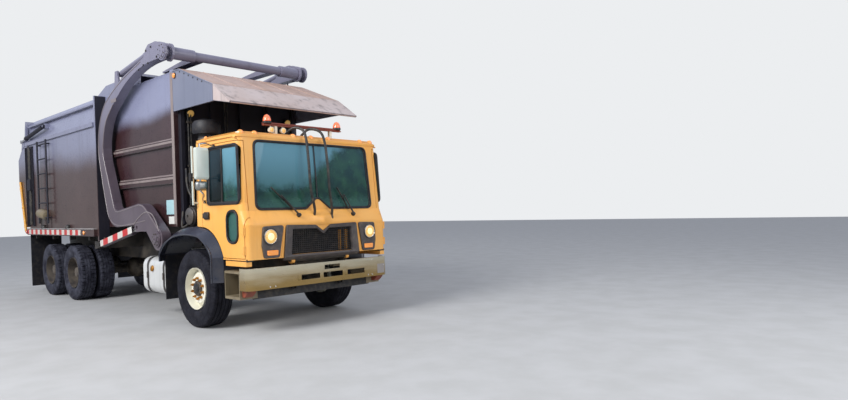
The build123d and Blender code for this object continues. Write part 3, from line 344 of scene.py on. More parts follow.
# Paints: colour, faded colour, roughness, top of the dust, dust, chips, streaks, coat and metal
# The cab orange carries painted shade: a deeper orange mixed in above about 2.55 m, along the roof's edge.
ORANGE = worn_paint("cab_orange", (244, 174, 80), (246, 188, 108), 0.44, 1.3, 0.22, 0.2, 0.1, 0.08,
                    painted_light_band=((206, 138, 60), 2.55, 2.60, 0.8))
# The hopper, body and arm browns carry a painted reflection: a pale lilac grey mixed in towards their tops
# for reflected sky.
BROWN = worn_paint("hopper_brown", (50, 27, 31), (62, 38, 42), 0.28, 1.9, 0.3, 0.2, 0.25, 0.28,
                   painted_light_band=((144, 149, 178), 3.00, 3.26, 0.82))
BODY_BROWN = worn_paint("body_brown", (64, 44, 45), (78, 58, 58), 0.28, 1.9, 0.3, 0.2, 0.25, 0.28,
                        painted_light_band=((142, 147, 174), 2.40, 2.95, 0.74))
ARM_GREY = worn_paint("arm_brown", (80, 69, 80), (98, 88, 98), 0.32, 1.8, 0.3, 0.35, 0.2, 0.22,
                      painted_light_band=((136, 136, 158), 2.4, 3.8, 0.62))
# The canopy's blue-grey side colour is a painted sky reflection.
CANOPY_SIDE = worn_paint("canopy_side", (112, 117, 136), (128, 131, 148), 0.36, 1, 0.2, 0.3, 0.2, 0.15)
CANOPY_TOP = worn_paint("canopy_top", (186, 160, 150), (160, 122, 96), 0.55, 6, 0.4, 0.9, 0.45, 0)
CHASSIS = worn_paint("chassis_black", (24, 23, 24), (40, 37, 35), 0.55, 1.4, 0.7, 0.2, 0.3, 0)
# The fender's black paint is tinted blue as a painted sheen.
FENDER = worn_paint("fender_black", (22, 28, 44), (36, 44, 64), 0.28, 1.2, 0.35, 0.2, 0.15, 0.4)
STEP_GREY = worn_paint("step_grey", (128, 116, 92), (98, 84, 58), 0.42, 1.6, 0.4, 0.8, 0.35, 0)
CREAM = worn_paint("wheel_cream", (240, 238, 222), (226, 218, 196), 0.35, 1.6, 0.15, 0.6, 0.2, 0.2)
DARK_RIM = worn_paint("wheel_dark", (40, 38, 42), (66, 62, 64), 0.6, 2.4, 0.6, 0.4, 0.3, 0)
MIRROR_CREAM = worn_paint("mirror_cream", (206, 214, 206), (188, 192, 178), 0.35, 1, 0.2, 0.2, 0.15, 0.3)
YELLOW = worn_paint("prop_yellow", (226, 160, 34), (208, 140, 40), 0.4, 2, 0.4, 0.3, 0.3, 0.2)
CAST = worn_paint("oily_iron", (38, 36, 36), (58, 52, 48), 0.45, 2, 0.5, 0.7, 0.4, 0)
RUSTY_RED = worn_paint("beacon_bar_red", (140, 62, 40), (110, 50, 34), 0.5, 1, 0.2, 0.8, 0.4, 0)
ALLOY = worn_paint("tank_alloy", (226, 227, 226), (200, 200, 196), 0.3, 1, 0.15, 0.2, 0.25, 0.2, 0.25)
WHITE_PLATE = worn_paint("blank_white_plate", (226, 226, 222), (206, 204, 196), 0.4, 2.5, 0.3, 0.3, 0.1, 0.1)
CANOPY_FRONT = worn_paint("canopy_front", (194, 180, 178), (166, 140, 126), 0.5, 6, 0.3, 0.8, 0.6, 0)
# Rib caps and front post edges are paler than the body as a painted highlight from the sky.
RIB_EDGE = worn_paint("rib_edge", (128, 114, 112), (150, 138, 134), 0.4, 2, 0.6, 0.4, 0.4, 0.2)
LABEL_BLUE = worn_paint("blank_blue_label", (150, 196, 206), (196, 214, 214), 0.4, 2.5, 0.3, 0.3, 0.2, 0.1)
PALE_GREY = worn_paint("pale_grey", (150, 146, 146), (126, 120, 118), 0.6, 1.5, 0.5, 0.3, 0.3, 0)
# Painted shade: near-black blue steel for faces that stand in shade.
SHADE = worn_paint("shaded_steel", (18, 18, 32), (28, 26, 40), 0.6, 1.4, 0.15, 0.15, 0.2, 0)
# Arm flanges and weld lines are paler as a painted highlight.
ARM_EDGE = worn_paint("arm_edge", (118, 108, 110), (140, 130, 130), 0.35, 1.8, 0.4, 0.5, 0.3, 0.2)

# Metals: colour, stain colour, roughness and stains
CHROME = graded_chrome("tarnish_and_highlight_chrome")
BRIGHT = bare_metal("bright_chrome", (225, 224, 222), (160, 150, 135), 0.12, 0.3)
STEEL = bare_metal("bare_steel", (120, 116, 112), (84, 66, 50), 0.4, 0.7)
MIRROR_GLASS = bare_metal("mirror_glass", (210, 214, 218), (170, 172, 172), 0.03, 0.1)
GOLD_NUT = bare_metal("rusty_gold_nuts", (196, 140, 66), (110, 62, 30), 0.38, 0.7)
RUSTY_NUT = bare_metal("rusty_nuts", (96, 76, 60), (70, 42, 26), 0.6, 0.8)
SPOT_BACK = bare_metal("spot_mirror_back", (150, 152, 148), (110, 104, 96), 0.34, 0.5)

# Plastics and rubbers: colour, worn colour, roughness, dust, coat and grain
BLACK = moulded("black_plastic", (20, 20, 22), (34, 33, 34), 0.45, 0.25)
LAMP_PLASTIC = moulded("lamp_panel_plastic", (66, 60, 60), (84, 76, 72), 0.5, 0.3)
RUBBER = moulded("gasket_rubber", (12, 13, 22), (22, 23, 32), 0.55, 0.12)
HOSE = moulded("hose_rubber", (18, 18, 19), (34, 32, 31), 0.5, 0.35, 0.1)
VINYL = moulded("seat_vinyl", (28, 27, 29), (44, 42, 42), 0.45, 0.15, 0.1, 120)
DARK_TRIM = moulded("dark_trim", (42, 38, 38), (58, 54, 52), 0.4, 0.2)
GRILLE_BLACK = moulded("grille_black", (26, 24, 24), (42, 39, 39), 0.4, 0.2)
TYRE = tread_rubber("tyre_rubber", (8, 7, 18), 0.13)
REAR_TYRE = tread_rubber("dusty_tyre_rubber", (22, 22, 34), 0.48)

# Glass, lenses and tapes
GLASS = glossy_glass("window_glass", (150, 190, 188), 0.42)
DOOR_GLASS = glossy_glass("door_glass", (140, 172, 176), 0.4, dark_behind=AXLE_X + 0.788)
AMBER = lens("amber_lens", (252, 144, 10), 0.12)
ORANGE_RED = lens("beacon_lens", (240, 88, 16), 0.3)
LAMP_LENS = lens("headlamp_lens", (240, 184, 78), 0.22, 0.08)
LAMP_GLOW = lens("headlamp_middle", (255, 230, 160), 0.7, 0.08)
RED_LENS = lens("red_lens", (176, 20, 18), 0.15)
LEDGE_TAPE = tape("ledge_tape", 0.3)
RAM_TAPE = tape("ram_tape", 0.42)

NODE_GROUPS = (
    (ORANGE, "cab_shell cab_roof door_left door_right"),
    (GLASS, "cab_glass"),
    (DOOR_GLASS, "door_glass_left door_glass_right"),
    (BLACK, "grille dashboard air_intake"),
    (LAMP_PLASTIC, "headlamps"),
    (RUSTY_RED, "roof_lamps"),
    (VINYL, "seats"),
    (MIRROR_CREAM, "mirror_left mirror_right grab_rails"),
    (CHASSIS, "frame_rails front_axle front_springs rear_axles walking_beams subframe arm_pivot_mounts "
              "battery_box knuckle_left knuckle_right"),
    (RUBBER, "mud_flaps"),
    (CHROME, "bumper"),
    (STEP_GREY, "step_boxes"),
    (FENDER, "front_fenders"),
    (ALLOY, "fuel_tank"),
    (CAST, "engine_block"),
    (BROWN, "hopper"),
    (BODY_BROWN, "load_body side_ledges tailgate"),
    # Painted shade: the ladder and the tailgate rams are near-black.
    (SHADE, "ladder gate_barrels"),
    (STEEL, "packer_blade"),
    (CANOPY_SIDE, "canopy"),
    (ARM_GREY, "lift_arms fork_frame lift_barrels fork_barrels"),
    (BRIGHT, "lift_rods fork_rods gate_rods"),
    (CREAM, "front_wheel_left front_wheel_right"),
    (TYRE, "front_tyre_left front_tyre_right"),
    (REAR_TYRE, "rear_tyres_1_right rear_tyres_1_left rear_tyres_2_right rear_tyres_2_left"),
    (DARK_RIM, "rear_wheels_1_right rear_wheels_1_left rear_wheels_2_right rear_wheels_2_left"),
)
NODE_MATERIALS = {name: material for material, names in NODE_GROUPS for name in names.split()}


def dress_nodes():
    """Gives every carried-over CAD node its material."""
    for name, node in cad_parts.items():
        if not node.material_slots:
            node.data.materials.append(NODE_MATERIALS[name])
        for slot in node.material_slots:
            slot.material = NODE_MATERIALS[name]


# Studio
FLOOR_REACH = 60
LAMPS = (  # name, place, target, size, power
    ("key", (5, -15, 11), (0, 0, 1.5), 9, 3100),
    ("front_fill", (15, 2, 6), (0, 0, 1.5), 8, 440),
)


def make_studio():
    """Pale floor, soft key and fill lamps, and an even world that shows pale behind the truck."""
    mesh = bpy.data.meshes.new("floor")
    corners = [(x * FLOOR_REACH, y * FLOOR_REACH, 0) for x, y in ((-1, -1), (1, -1), (1, 1), (-1, 1))]
    mesh.from_pydata(corners, [], [(0, 1, 2, 3)])
    floor = bpy.data.objects.new("floor", mesh)
    bpy.context.scene.collection.objects.link(floor)
    s = new_shader("floor_grey")
    tone = s.mix(s.ramp(s.noise(2, 5), 0.3, 0.7), (190, 190, 190), (182, 182, 181))
    mesh.materials.append(s.finish(Base_Color=tone, Roughness=0.85))
    s = Shader(bpy.data.worlds.new("studio"), "ShaderNodeOutputWorld", "Generated")
    ray = s.node("ShaderNodeLightPath").outputs
    graded = s.node("ShaderNodeValToRGB", {0: s.axis(2)})
    foot, top = graded.color_ramp.elements
    foot.position, foot.color = 0, srgb(150, 152, 150)
    top.position, top.color = 0.35, srgb(214, 222, 246)
    light = s.node("ShaderNodeBackground", {0: srgb(226, 232, 244), 1: 0.62}).outputs[0]
    shine = s.node("ShaderNodeBackground", {0: graded.outputs[0]}).outputs[0]
    seen = s.node("ShaderNodeBackground", {0: srgb(236, 238, 240)}).outputs[0]
    glossy = s.node("ShaderNodeMixShader", {0: ray["Is Glossy Ray"], 1: light, 2: shine}).outputs[0]
    either = s.maths("MAXIMUM", ray["Is Camera Ray"], ray["Is Transmission Ray"])
    bpy.context.scene.world = s.end(s.node("ShaderNodeMixShader", {0: either, 1: glossy, 2: seen}))
    for name, place, target, size, power in LAMPS:
        data = bpy.data.lights.new(name, "AREA")
        data.shape = "DISK"
        data.size = size
        data.energy = power
        lamp = bpy.data.objects.new(name, data)
        lamp.location = place
        lamp.rotation_euler = (Vector(target) - Vector(place)).to_track_quat("-Z", "Y").to_euler()
        bpy.context.scene.collection.objects.link(lamp)


# Mesh helpers
SHARP = math.radians(35)


def circle(centre, across, other, radius, sides):
    """Points round a centre, in the plane of two directions."""
    turns = (math.tau * k / sides for k in range(sides))
    return [centre + radius * (math.cos(turn) * across + math.sin(turn) * other) for turn in turns]


class Piece:
    """One mesh gathered from simple solids. Points are given from the front axle.

    With its side at LEFT, y is the truck's own. At RIGHT, y counts outwards to the right."""

    def __init__(self, side=LEFT):
        self.shape = bmesh.new()
        self.materials = []
        self.side = side

    def both_sides(self):
        """Two rounds, the first on the truck's right side and the second on its left."""
        for side in (RIGHT, LEFT):
            self.side = side
            yield side

    def put(self, x, y, z):
        """Point on the piece's side."""
        return at(x, self.side * y, z)

    def directions(self, axis):
        """An axis on the piece's side and two directions square to it."""
        run = Vector((axis[0], self.side * axis[1], axis[2])).normalized()
        across = run.orthogonal().normalized()
        return run, across, run.cross(across)

    def paint(self, faces, material):
        """Marks faces with a material."""
        if material not in self.materials:
            self.materials.append(material)
        for face in faces:
            face.material_index = self.materials.index(material)

    def skin(self, rings, material, closed=False):
        """Skin over rings of points, each ring closed."""
        made = [[self.shape.verts.new(p) for p in ring] for ring in rings]
        count = len(made[0])
        faces = []
        pairs = list(zip(made, made[1:]))
        if closed:
            pairs.append((made[-1], made[0]))
        for low, high in pairs:
            for i in range(count):
                j = (i + 1) % count
                faces.append(self.shape.faces.new((low[i], low[j], high[j], high[i])))
        if not closed:
            faces.append(self.shape.faces.new(list(reversed(made[0]))))
            faces.append(self.shape.faces.new(made[-1]))
        self.paint(faces, material)

    def box(self, x, y, z, material):
        """Box between pairs of low and high."""
        near, far = sorted(self.side * width for width in y)
        ring = [(x[0], near), (x[1], near), (x[1], far), (x[0], far)]
        self.skin([[at(*p, height) for p in ring] for height in z], material)

    def prism(self, points, y, material):
        """Side outline of (x, z) points, between two widths."""
        widths = sorted(self.side * width for width in y)
        self.skin([[at(a, width, b) for a, b in points] for width in widths], material)

    def plate(self, outline, centre, steps, material, closed=False):
        """Outline of (y, z) points drawn in towards its centre, in steps of (x, share)."""
        rings = [[self.put(x, *p) for p in shrunk(outline, centre, share)] for x, share in steps]
        self.skin(rings, material, closed)

    def side_plate(self, outline, centre, steps, material, closed=False):
        """Outline of (x, z) points on the cab's side, in steps of (share, distance off the side)."""
        rings = []
        for share, proud in steps:
            rings.append([self.put(*p) for p in on_side(shrunk(outline, centre, share), proud)])
        self.skin(rings, material, closed)

    def rod(self, start, end, radius, material, sides):
        """Round rod between two points."""
        self.tube([start, end], radius, material, sides)

    def tube(self, points, radius, material, sides, end_radius=None, closed=False):
        """Round tube along points."""
        path = [self.put(*p) for p in points]
        count = len(path)
        end_radius = radius if end_radius is None else end_radius
        rings = []
        across = None
        for i, place in enumerate(path):
            if closed:
                before, after = path[i - 1], path[(i + 1) % count]
            else:
                before, after = path[max(i - 1, 0)], path[min(i + 1, count - 1)]
            run = (after - before).normalized()
            if across is None:
                across = run.orthogonal().normalized()
            across = (across - run * across.dot(run)).normalized()
            r = radius + (end_radius - radius) * i / max(count - 1, 1)
            rings.append(circle(place, across, run.cross(across), r, sides))
        self.skin(rings, material, closed)

    def curve(self, points, radius, material, sides=10, steps=8):
        """Round tube along a smooth curve through points."""
        self.tube(smooth_path(points, steps), radius, material, sides)

    def lathe(self, centre, axis, rows, material, steps):
        """Ring turned about an axis: rows of (distance along the axis, radius), first and last joined."""
        run, across, other = self.directions(axis)
        origin = self.put(*centre)
        ways = circle(Vector((0, 0, 0)), across, other, 1, steps)
        self.skin([[origin + d * run + r * way for d, r in rows] for way in ways], material, closed=True)

    def dome(self, centre, axis, radius, height, material, sides=20, rings=6):
        """Rounded cap on a flat foot."""
        run, across, other = self.directions(axis)
        origin = self.put(*centre)
        levels = []
        for level in range(rings):
            turn = math.pi / 2 * level / rings
            foot = origin + height * math.sin(turn) * run
            levels.append(circle(foot, across, other, radius * math.cos(turn), sides))
        self.skin(levels, material)

    def bolts(self, places, axis, radius, height, material, sides=6):
        """Bolt heads at places, standing along an axis."""
        run = Vector(axis).normalized() * height
        for place in places:
            self.rod(place, Vector(place) + run, radius, material, sides)

    def finish(self, name, body, slot, replaces=(), bevel=0.003):
        """Makes the object and rides it on its body. The slot argument is not used."""
        bmesh.ops.recalc_face_normals(self.shape, faces=self.shape.faces)
        for edge in self.shape.edges:
            if len(edge.link_faces) == 2:
                edge.smooth = edge.calc_face_angle() < SHARP
        mesh = bpy.data.meshes.new(name)
        self.shape.to_mesh(mesh)
        self.shape.free()
        for material in self.materials:
            mesh.materials.append(material)
        mesh.shade_smooth()
        piece = bpy.data.objects.new(name, mesh)
        bpy.context.scene.collection.objects.link(piece)
        if bevel:
            soft = piece.modifiers.new("soft_edges", "BEVEL")
            soft.width = bevel
            soft.segments = 2
            soft.limit_method = "ANGLE"
            soft.angle_limit = SHARP
            soft.harden_normals = True
        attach(piece, body)
        if replaces:
            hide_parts(*replaces)


def smooth_path(points, steps):
    """Points on a smooth curve through the given points."""
    places = [Vector(p) for p in points]
    places = [2 * places[0] - places[1], *places, 2 * places[-1] - places[-2]]
    path = []
    for i in range(1, len(places) - 2):
        a, b, c, d = places[i - 1:i + 3]
        for step in range(steps):
            t = step / steps
            square, cube = (2 * a - 5 * b + 4 * c - d) * t ** 2, (3 * b - a - 3 * c + d) * t ** 3
            path.append(0.5 * (2 * b + (c - a) * t + square + cube))
    return path + [places[-2]]


def rounded(points, radius, steps):
    """Closed outline of 2-D points with rounded corners."""
    path = []
    count = len(points)
    for i in range(count):
        before, corner, after = (Vector(points[k % count]) for k in (i - 1, i, i + 1))
        inward, outward = (before - corner).normalized(), (after - corner).normalized()
        half = math.acos(max(-1, min(1, inward.dot(outward)))) / 2
        reach = min(radius / math.tan(half), (before - corner).length / 2, (after - corner).length / 2)
        start, end = corner + inward * reach, corner + outward * reach
        for step in range(steps + 1):
            t = step / steps
            path.append((1 - t) ** 2 * start + 2 * t * (1 - t) * corner + t ** 2 * end)
    return path


def span(centre, half):
    """Low and high either side of a centre."""
    return centre - half, centre + half


def rectangle(low, high):
    """Corners of a rectangle from its low and high corner."""
    return [low, (high[0], low[1]), high, (low[0], high[1])]


def shrunk(points, centre, share):
    """Outline drawn in towards a centre."""
    return [tuple(c + (v - c) * share for c, v in zip(centre, point)) for point in points]


def button(radius, height, hole=0.006):
    """Rows of a round lamp body for the lathe."""
    return [(0, hole), (0, radius), (height, radius - 0.002), (height + 0.002, hole)]


def ring_places(centre, radius, count, offset=0.5):
    """Places evenly round an axle."""
    x, y, z = centre
    turns = (math.tau * (i + offset) / count for i in range(count))
    return [(x + radius * math.cos(turn), y, z + radius * math.sin(turn)) for turn in turns]


# Tyres and wheels
REAR_ROWS = (-4.88, -6.19)
FRONT_TYRE = {"radius": 0.542, "width": 0.315, "face": 1.225, "lugs": 60, "cut": 0.006, "land": 0.30}
REAR_TYRE_SIZE = {"radius": 0.525, "width": 0.280, "face": 1.220, "lugs": 44, "cut": 0.016, "land": 0.12}
TWIN_SPACING = 0.335


def tyre_section(size):
    """Closed section of a tyre as (distance across, radius), with walls, shoulders and four grooves."""
    width, radius = size["width"], size["radius"]
    wall = [
        (0.36, 0.292), (0.39, 0.306), (0.43, 0.318), (0.47, 0.345), (0.485, 0.352), (0.497, 0.385),
        (0.5, 0.42), (0.494, 0.458), (0.484, 0.462), (0.478, radius - 0.045), (0.455, radius - 0.02),
        (0.43, radius - 0.008), (0.4, radius - 0.003)]
    edge, depth = 0.018, 0.013
    tread = []
    for groove in (0.27, 0.09, -0.09, -0.27):
        crown = radius - 0.003 * (abs(groove) / 0.27)
        tread += [(groove + edge, crown), (groove + edge * 0.6, crown - depth),
                  (groove - edge * 0.6, crown - depth), (groove - edge, crown)]
    rows = wall + tread + [(-share, r) for share, r in reversed(wall)]
    return [(share * width, r) for share, r in rows]


def add_tyre(piece, x, y, size, material):
    """Tyre with cross cuts at its shoulders, turned about its axle."""
    radius = size["radius"]
    rows = tyre_section(size)
    origin = piece.put(x, y, radius)
    rings = []
    for lug in range(size["lugs"]):
        for share, deep in ((0, False), (0.72, False), (0.78, True), (0.94, True)):
            turn = math.tau * (lug + share) / size["lugs"]
            ring = []
            for across, r in rows:
                if deep and r > radius - 0.03 and abs(across) > size["land"] * size["width"]:
                    r -= size["cut"]
                ring.append(origin + Vector((r * math.cos(turn), across, r * math.sin(turn))))
            rings.append(ring)
    piece.skin(rings, material, closed=True)


def tyre_middle(size):
    """Distance of an outer tyre's middle from the truck's middle."""
    return size["face"] - size["width"] / 2


def make_tyres():
    """Front tyres and the twin rear tyres."""
    outer = tyre_middle(REAR_TYRE_SIZE)
    for side, hand in SIDES:
        tyre = Piece(side)
        add_tyre(tyre, 0, tyre_middle(FRONT_TYRE), FRONT_TYRE, TYRE)
        tyre.finish(f"front_tread_{hand}", f"{hand}_front_wheel", "tyre_rubber",
                    [f"front_tyre_{hand}"], bevel=0)
        for row, x in enumerate(REAR_ROWS, start=1):
            tyres = Piece(side)
            for y in (outer, outer - TWIN_SPACING):
                add_tyre(tyres, x, y, REAR_TYRE_SIZE, REAR_TYRE)
            tyres.finish(f"rear_treads_{row}_{hand}", f"{hand}_rear_wheels_{row}", "tyre_rubber",
                         [f"rear_tyres_{row}_{hand}"], bevel=0)


def make_wheel_studs():
    """Studs, nuts and hub caps of the front and rear wheels."""
    hub, rear_hub = FRONT_TYRE["radius"], REAR_TYRE_SIZE["radius"]
    for side, hand in SIDES:
        fixings = Piece(side)
        studs = ring_places((0, 1.155, hub), 0.143, 10)
        fixings.bolts(studs, OUT, 0.02, 0.028, GOLD_NUT)
        fixings.bolts(studs, OUT, 0.01, 0.046, GOLD_NUT, 8)
        flange = [(0, 0.02), (0, 0.11), (0.018, 0.106), (0.03, 0.096), (0.034, 0.02)]
        fixings.lathe((0, 1.153, hub), OUT, flange, CAST, 40)
        cap = [(0, 0.006), (0, 0.07), (0.01, 0.068), (0.018, 0.052), (0.021, 0.006)]
        fixings.lathe((0, 1.184, hub), OUT, cap, BLACK, 32)
        fixings.bolts(ring_places((0, 1.186, hub), 0.084, 8, 0), OUT, 0.008, 0.008, CAST)
        fixings.finish(f"front_hub_fixings_{hand}", f"{hand}_front_wheel", "cast_block", bevel=0.0015)
        for row, x in enumerate(REAR_ROWS, start=1):
            nuts = Piece(side)
            studs = ring_places((x, 0.92, rear_hub), 0.168, 10)
            nuts.bolts(studs, OUT, 0.018, 0.045, RUSTY_NUT)
            nuts.bolts(studs, OUT, 0.01, 0.075, RUSTY_NUT, 8)
            cap = [(0, 0.01), (0, 0.098), (0.018, 0.094), (0.026, 0.07), (0.03, 0.01)]
            nuts.lathe((x, 1.12, rear_hub), OUT, cap, DARK_RIM, 32)
            nuts.bolts(ring_places((x, 1.14, rear_hub), 0.078, 8, 0), OUT, 0.009, 0.012, DARK_RIM)
            nuts.finish(f"rear_hub_fixings_{row}_{hand}", f"{hand}_rear_wheels_{row}", "cast_block",
                        bevel=0.0015)


# Cab front
CAB_SKIN = ((0.975, 1.33), (1.42, 1.33), (1.6, 1.252), (2.545, 1.172))
CORNER_R = 0.09
CAB_HALF = 1.2
TAPER, TAPER_FOOT, TAPER_HEIGHT = 0.015, 1.6, 0.945
WINDSHIELD = [(-0.99, 1.61), (-0.205, 1.61), (0, 1.775), (0.205, 1.61), (0.99, 1.61), (0.955, 2.51),
              (-0.955, 2.51)]


def skin_half(z):
    """Half width of the cab at a height."""
    return CAB_HALF - TAPER * max(0, min(1, (z - TAPER_FOOT) / TAPER_HEIGHT))


def skin_x(y, z):
    """Front of the cab's skin at a width and height."""
    for (low, front), (high, rear) in zip(CAB_SKIN, CAB_SKIN[1:]):
        if z <= high:
            break
    x = front + (rear - front) * (z - low) / (high - low)
    past = abs(y) - (skin_half(z) - CORNER_R)
    return x if past <= 0 else x - CORNER_R + math.sqrt(max(CORNER_R ** 2 - past ** 2, 0))


def on_face(points, proud):
    """Places (x, y, z) on the cab's front for (y, z) points."""
    return [(skin_x(y, z) + proud, y, z) for y, z in points]


def on_side(points, proud):
    """Places on the cab's side for (x, z) points."""
    return [(x, skin_half(z) + proud, z) for x, z in points]


def make_windshield_trim():
    """Rubber gasket round the windshield and its middle divider."""
    trim = Piece()
    trim.tube(on_face(rounded(WINDSHIELD, 0.09, 8), 0.003), 0.011, RUBBER, 8, closed=True)
    inner = rounded([(y * 0.978, 2.06 + (z - 2.06) * 0.966) for y, z in WINDSHIELD], 0.08, 8)
    trim.tube(on_face(inner, -0.008), 0.009, RUBBER, 8, closed=True)
    trim.tube(on_face([(0, 1.755), (0, 2.1), (0, 2.505)], 0.002), 0.009, RUBBER, 8)
    trim.finish("windshield_gasket", "cab", "plastic_black", bevel=0)


def make_wipers():
    """Two wipers with their arms and blades side by side."""
    wipers = Piece()
    table = (  # pivot, arm end, blade foot, blade tip as (y, z)
        ((-0.37, 1.52), (-0.62, 1.8), (-0.43, 1.6), (-0.76, 1.9)),
        ((0.58, 1.515), (0.44, 1.81), (0.52, 1.6), (0.34, 1.905)),
    )
    cap = [(0, 0.005), (0, 0.034), (0.03, 0.03), (0.055, 0.024), (0.06, 0.005)]
    behind, before = Vector((0.012, 0, 0)), Vector((0.018, 0, 0))
    for pivot, arm_end, foot, tip in table:
        wipers.lathe(on_face([pivot], -0.005)[0], (1, 0, 0.3), cap, BLACK, 20)
        start, end = on_face([pivot], 0.05)[0], on_face([arm_end], 0.045)[0]
        wipers.tube([start, end], 0.013, BLACK, 8, 0.008)
        low, high = (Vector(p) for p in on_face([foot, tip], 0.03))
        wipers.tube([low, high], 0.008, BLACK, 8)
        wipers.tube([low - behind, high - behind], 0.006, RUBBER, 6)
        centre = (low + high) / 2
        wipers.tube([end, centre], 0.009, BLACK, 8)
        for share in (0.2, 0.8):
            wipers.tube([low.lerp(high, share), centre + before], 0.005, BLACK, 6)
    wipers.finish("wipers", "cab", "plastic_black", bevel=0)


def make_cowl_hoses():
    """Two black hoses that arch from the roof down to feet on the cowl."""
    hoses = Piece()
    table = (  # places from the roof to the cowl
        ((0.98, -0.34, 2.64), (1.06, -0.24, 2.73), (1.2, -0.19, 2.69), (1.27, -0.185, 2.55),
         (1.33, -0.2, 2.24), (1.36, -0.2, 1.88), (1.34, -0.13, 1.62), (1.3, -0.11, 1.5)),
        ((0.98, -0.06, 2.64), (1.06, 0.02, 2.73), (1.2, 0.1, 2.69), (1.27, 0.125, 2.55),
         (1.33, 0.12, 2.24), (1.36, 0.12, 1.88), (1.34, 0.17, 1.62), (1.3, 0.19, 1.495)),
    )
    boot = [(0, 0.004), (0, 0.034), (0.012, 0.03), (0.04, 0.018), (0.045, 0.004)]
    for route in table:
        hoses.curve(route, 0.018, HOSE)
        x, y, z = route[-1]
        hoses.lathe((x - 0.006, y, z - 0.02), (0.4, 0, 1), boot, BLACK, 16)
    hoses.finish("cowl_hoses", "cab", "plastic_black", bevel=0)


def make_cowl_form():
    """Pressed cowl panel with a peak down to the grille's notch, and a crease under the windshield."""
    cowl = Piece()
    half, columns = 1.1, 44
    foot, height = 1.385, 0.215
    rows = []
    for z in (foot, 1.41, 1.44, 1.48, 1.52, 1.56, 1.6):
        share = (z - foot) / height
        peak = 0.05 * math.sin(math.pi * min(1, share * 0.9 + 0.1))
        row = []
        for k in range(columns + 1):
            y = -half + 2 * half * k / columns
            ridge = peak * max(0, 1 - abs(y) / (0.05 + 0.26 * share))
            swell = 0.016 * math.sin(math.pi * share) * max(0, 1 - (abs(y) / half) ** 6)
            row.append(cowl.shape.verts.new(at(skin_x(y, z) + 0.001 + ridge + swell, y, z)))
        rows.append(row)
    faces = [cowl.shape.faces.new((a[i], a[i + 1], b[i + 1], b[i]))
             for a, b in zip(rows, rows[1:]) for i in range(columns)]
    cowl.paint(faces, ORANGE)
    cowl.finish("cowl_panel", "cab", "cab_paint", bevel=0)


def make_grille():
    """Grille: plastic surround with a notch in its top, black slats and upright bars."""
    grille = Piece()
    outer = rounded([(-0.65, 0.935), (0.65, 0.935), (0.6, 1.405), (0.13, 1.392), (0, 1.3), (-0.13, 1.392),
                     (-0.6, 1.405)], 0.03, 4)
    inner = rounded([(-0.52, 1.01), (0.52, 1.01), (0.49, 1.345), (0.1, 1.338), (0, 1.262), (-0.1, 1.338),
                     (-0.49, 1.345)], 0.02, 4)
    middle_z = 1.17
    table = (  # x, outline, share and lowest height of a ring
        (1.3, outer, 1, 0.935), (1.326, outer, 1, 0.948), (1.352, outer, 1, 0.974),
        (1.362, outer, 0.985, 0.985), (1.352, inner, 1.03, 1), (1.322, inner, 1, 1), (1.3, inner, 1, 1))
    rings = [[at(x, y * share, max(foot, middle_z + (z - middle_z) * share)) for y, z in loop]
             for x, loop, share, foot in table]
    grille.skin(rings, LAMP_PLASTIC, closed=True)
    grille.box((1.29, 1.298), (-0.53, 0.53), (0.98, 1.36), GRILLE_BLACK)
    for slat in range(12):
        z = 1.005 + slat * 0.028
        reach = 0.515 - (z - 0.985) * 0.08
        notch = 0.02 + (z - 1.262) * 1.2
        section = [(1.302, z), (1.318, z + 0.004), (1.326, z - 0.004), (1.306, z - 0.008)]
        for widths in ((-reach, reach),) if z < 1.25 else ((-reach, -notch), (notch, reach)):
            grille.prism(section, widths, GRILLE_BLACK)
    for bar in range(-14, 15):
        y = bar * 0.035
        top = 1.335 - max(0, 0.075 * (1 - abs(y) / 0.1))
        grille.box((1.3, 1.312), span(y, 0.004), (0.99, top), GRILLE_BLACK)
    for y in (0.33, 0.44):
        grille.box((1.296, 1.304), span(y, 0.03), (1.02, 1.31), GOLD_NUT)
    grille.finish("grille_face", "cab", "plastic_black", ["grille"])


def make_headlamps():
    """Lamp panels with round headlamps, bright bezels, amber lamps and orange strips beside the grille."""
    lamps = Piece()
    panel = rounded([(0.715, 0.985), (0.945, 0.985), (0.975, 1.15), (0.955, 1.395), (0.64, 1.405)], 0.035, 5)
    amber = rounded([(0.745, 1.02), (0.905, 1.02), (0.91, 1.085), (0.74, 1.085)], 0.016, 4)
    rim = [(0.02, 0.104), (0.028, 0.112), (0.034, 0.108), (0.034, 0.096), (0.022, 0.092)]
    bezel = [(0.018, 0.094), (0.032, 0.095), (0.036, 0.09), (0.03, 0.086), (0.018, 0.086)]
    y, z = 0.85, 1.262
    for _ in lamps.both_sides():
        lamps.plate(panel, (0.83, 1.19), ((1.318, 1), (1.345, 1), (1.352, 0.975)), LAMP_PLASTIC)
        lamps.lathe((1.33, y, z), AHEAD, rim, DARK_TRIM, 40)
        lamps.lathe((1.33, y, z), AHEAD, bezel, BRIGHT, 40)
        lamps.dome((1.352, y, z), AHEAD, 0.096, 0.018, LAMP_LENS, 36, 5)
        lamps.dome((1.3645, y, z), AHEAD, 0.05, 0.013, LAMP_GLOW, 28, 4)
        lamps.plate(amber, (0.825, 1.052), ((1.345, 1), (1.362, 0.98), (1.366, 0.9)), AMBER)
        lamps.tube([(1.325, 0.668, 0.99), (1.325, 0.622, 1.385)], 0.016, ORANGE, 8)
    lamps.finish("headlamp_panels", "cab", "lamp_lens", ["headlamps"], bevel=0.002)


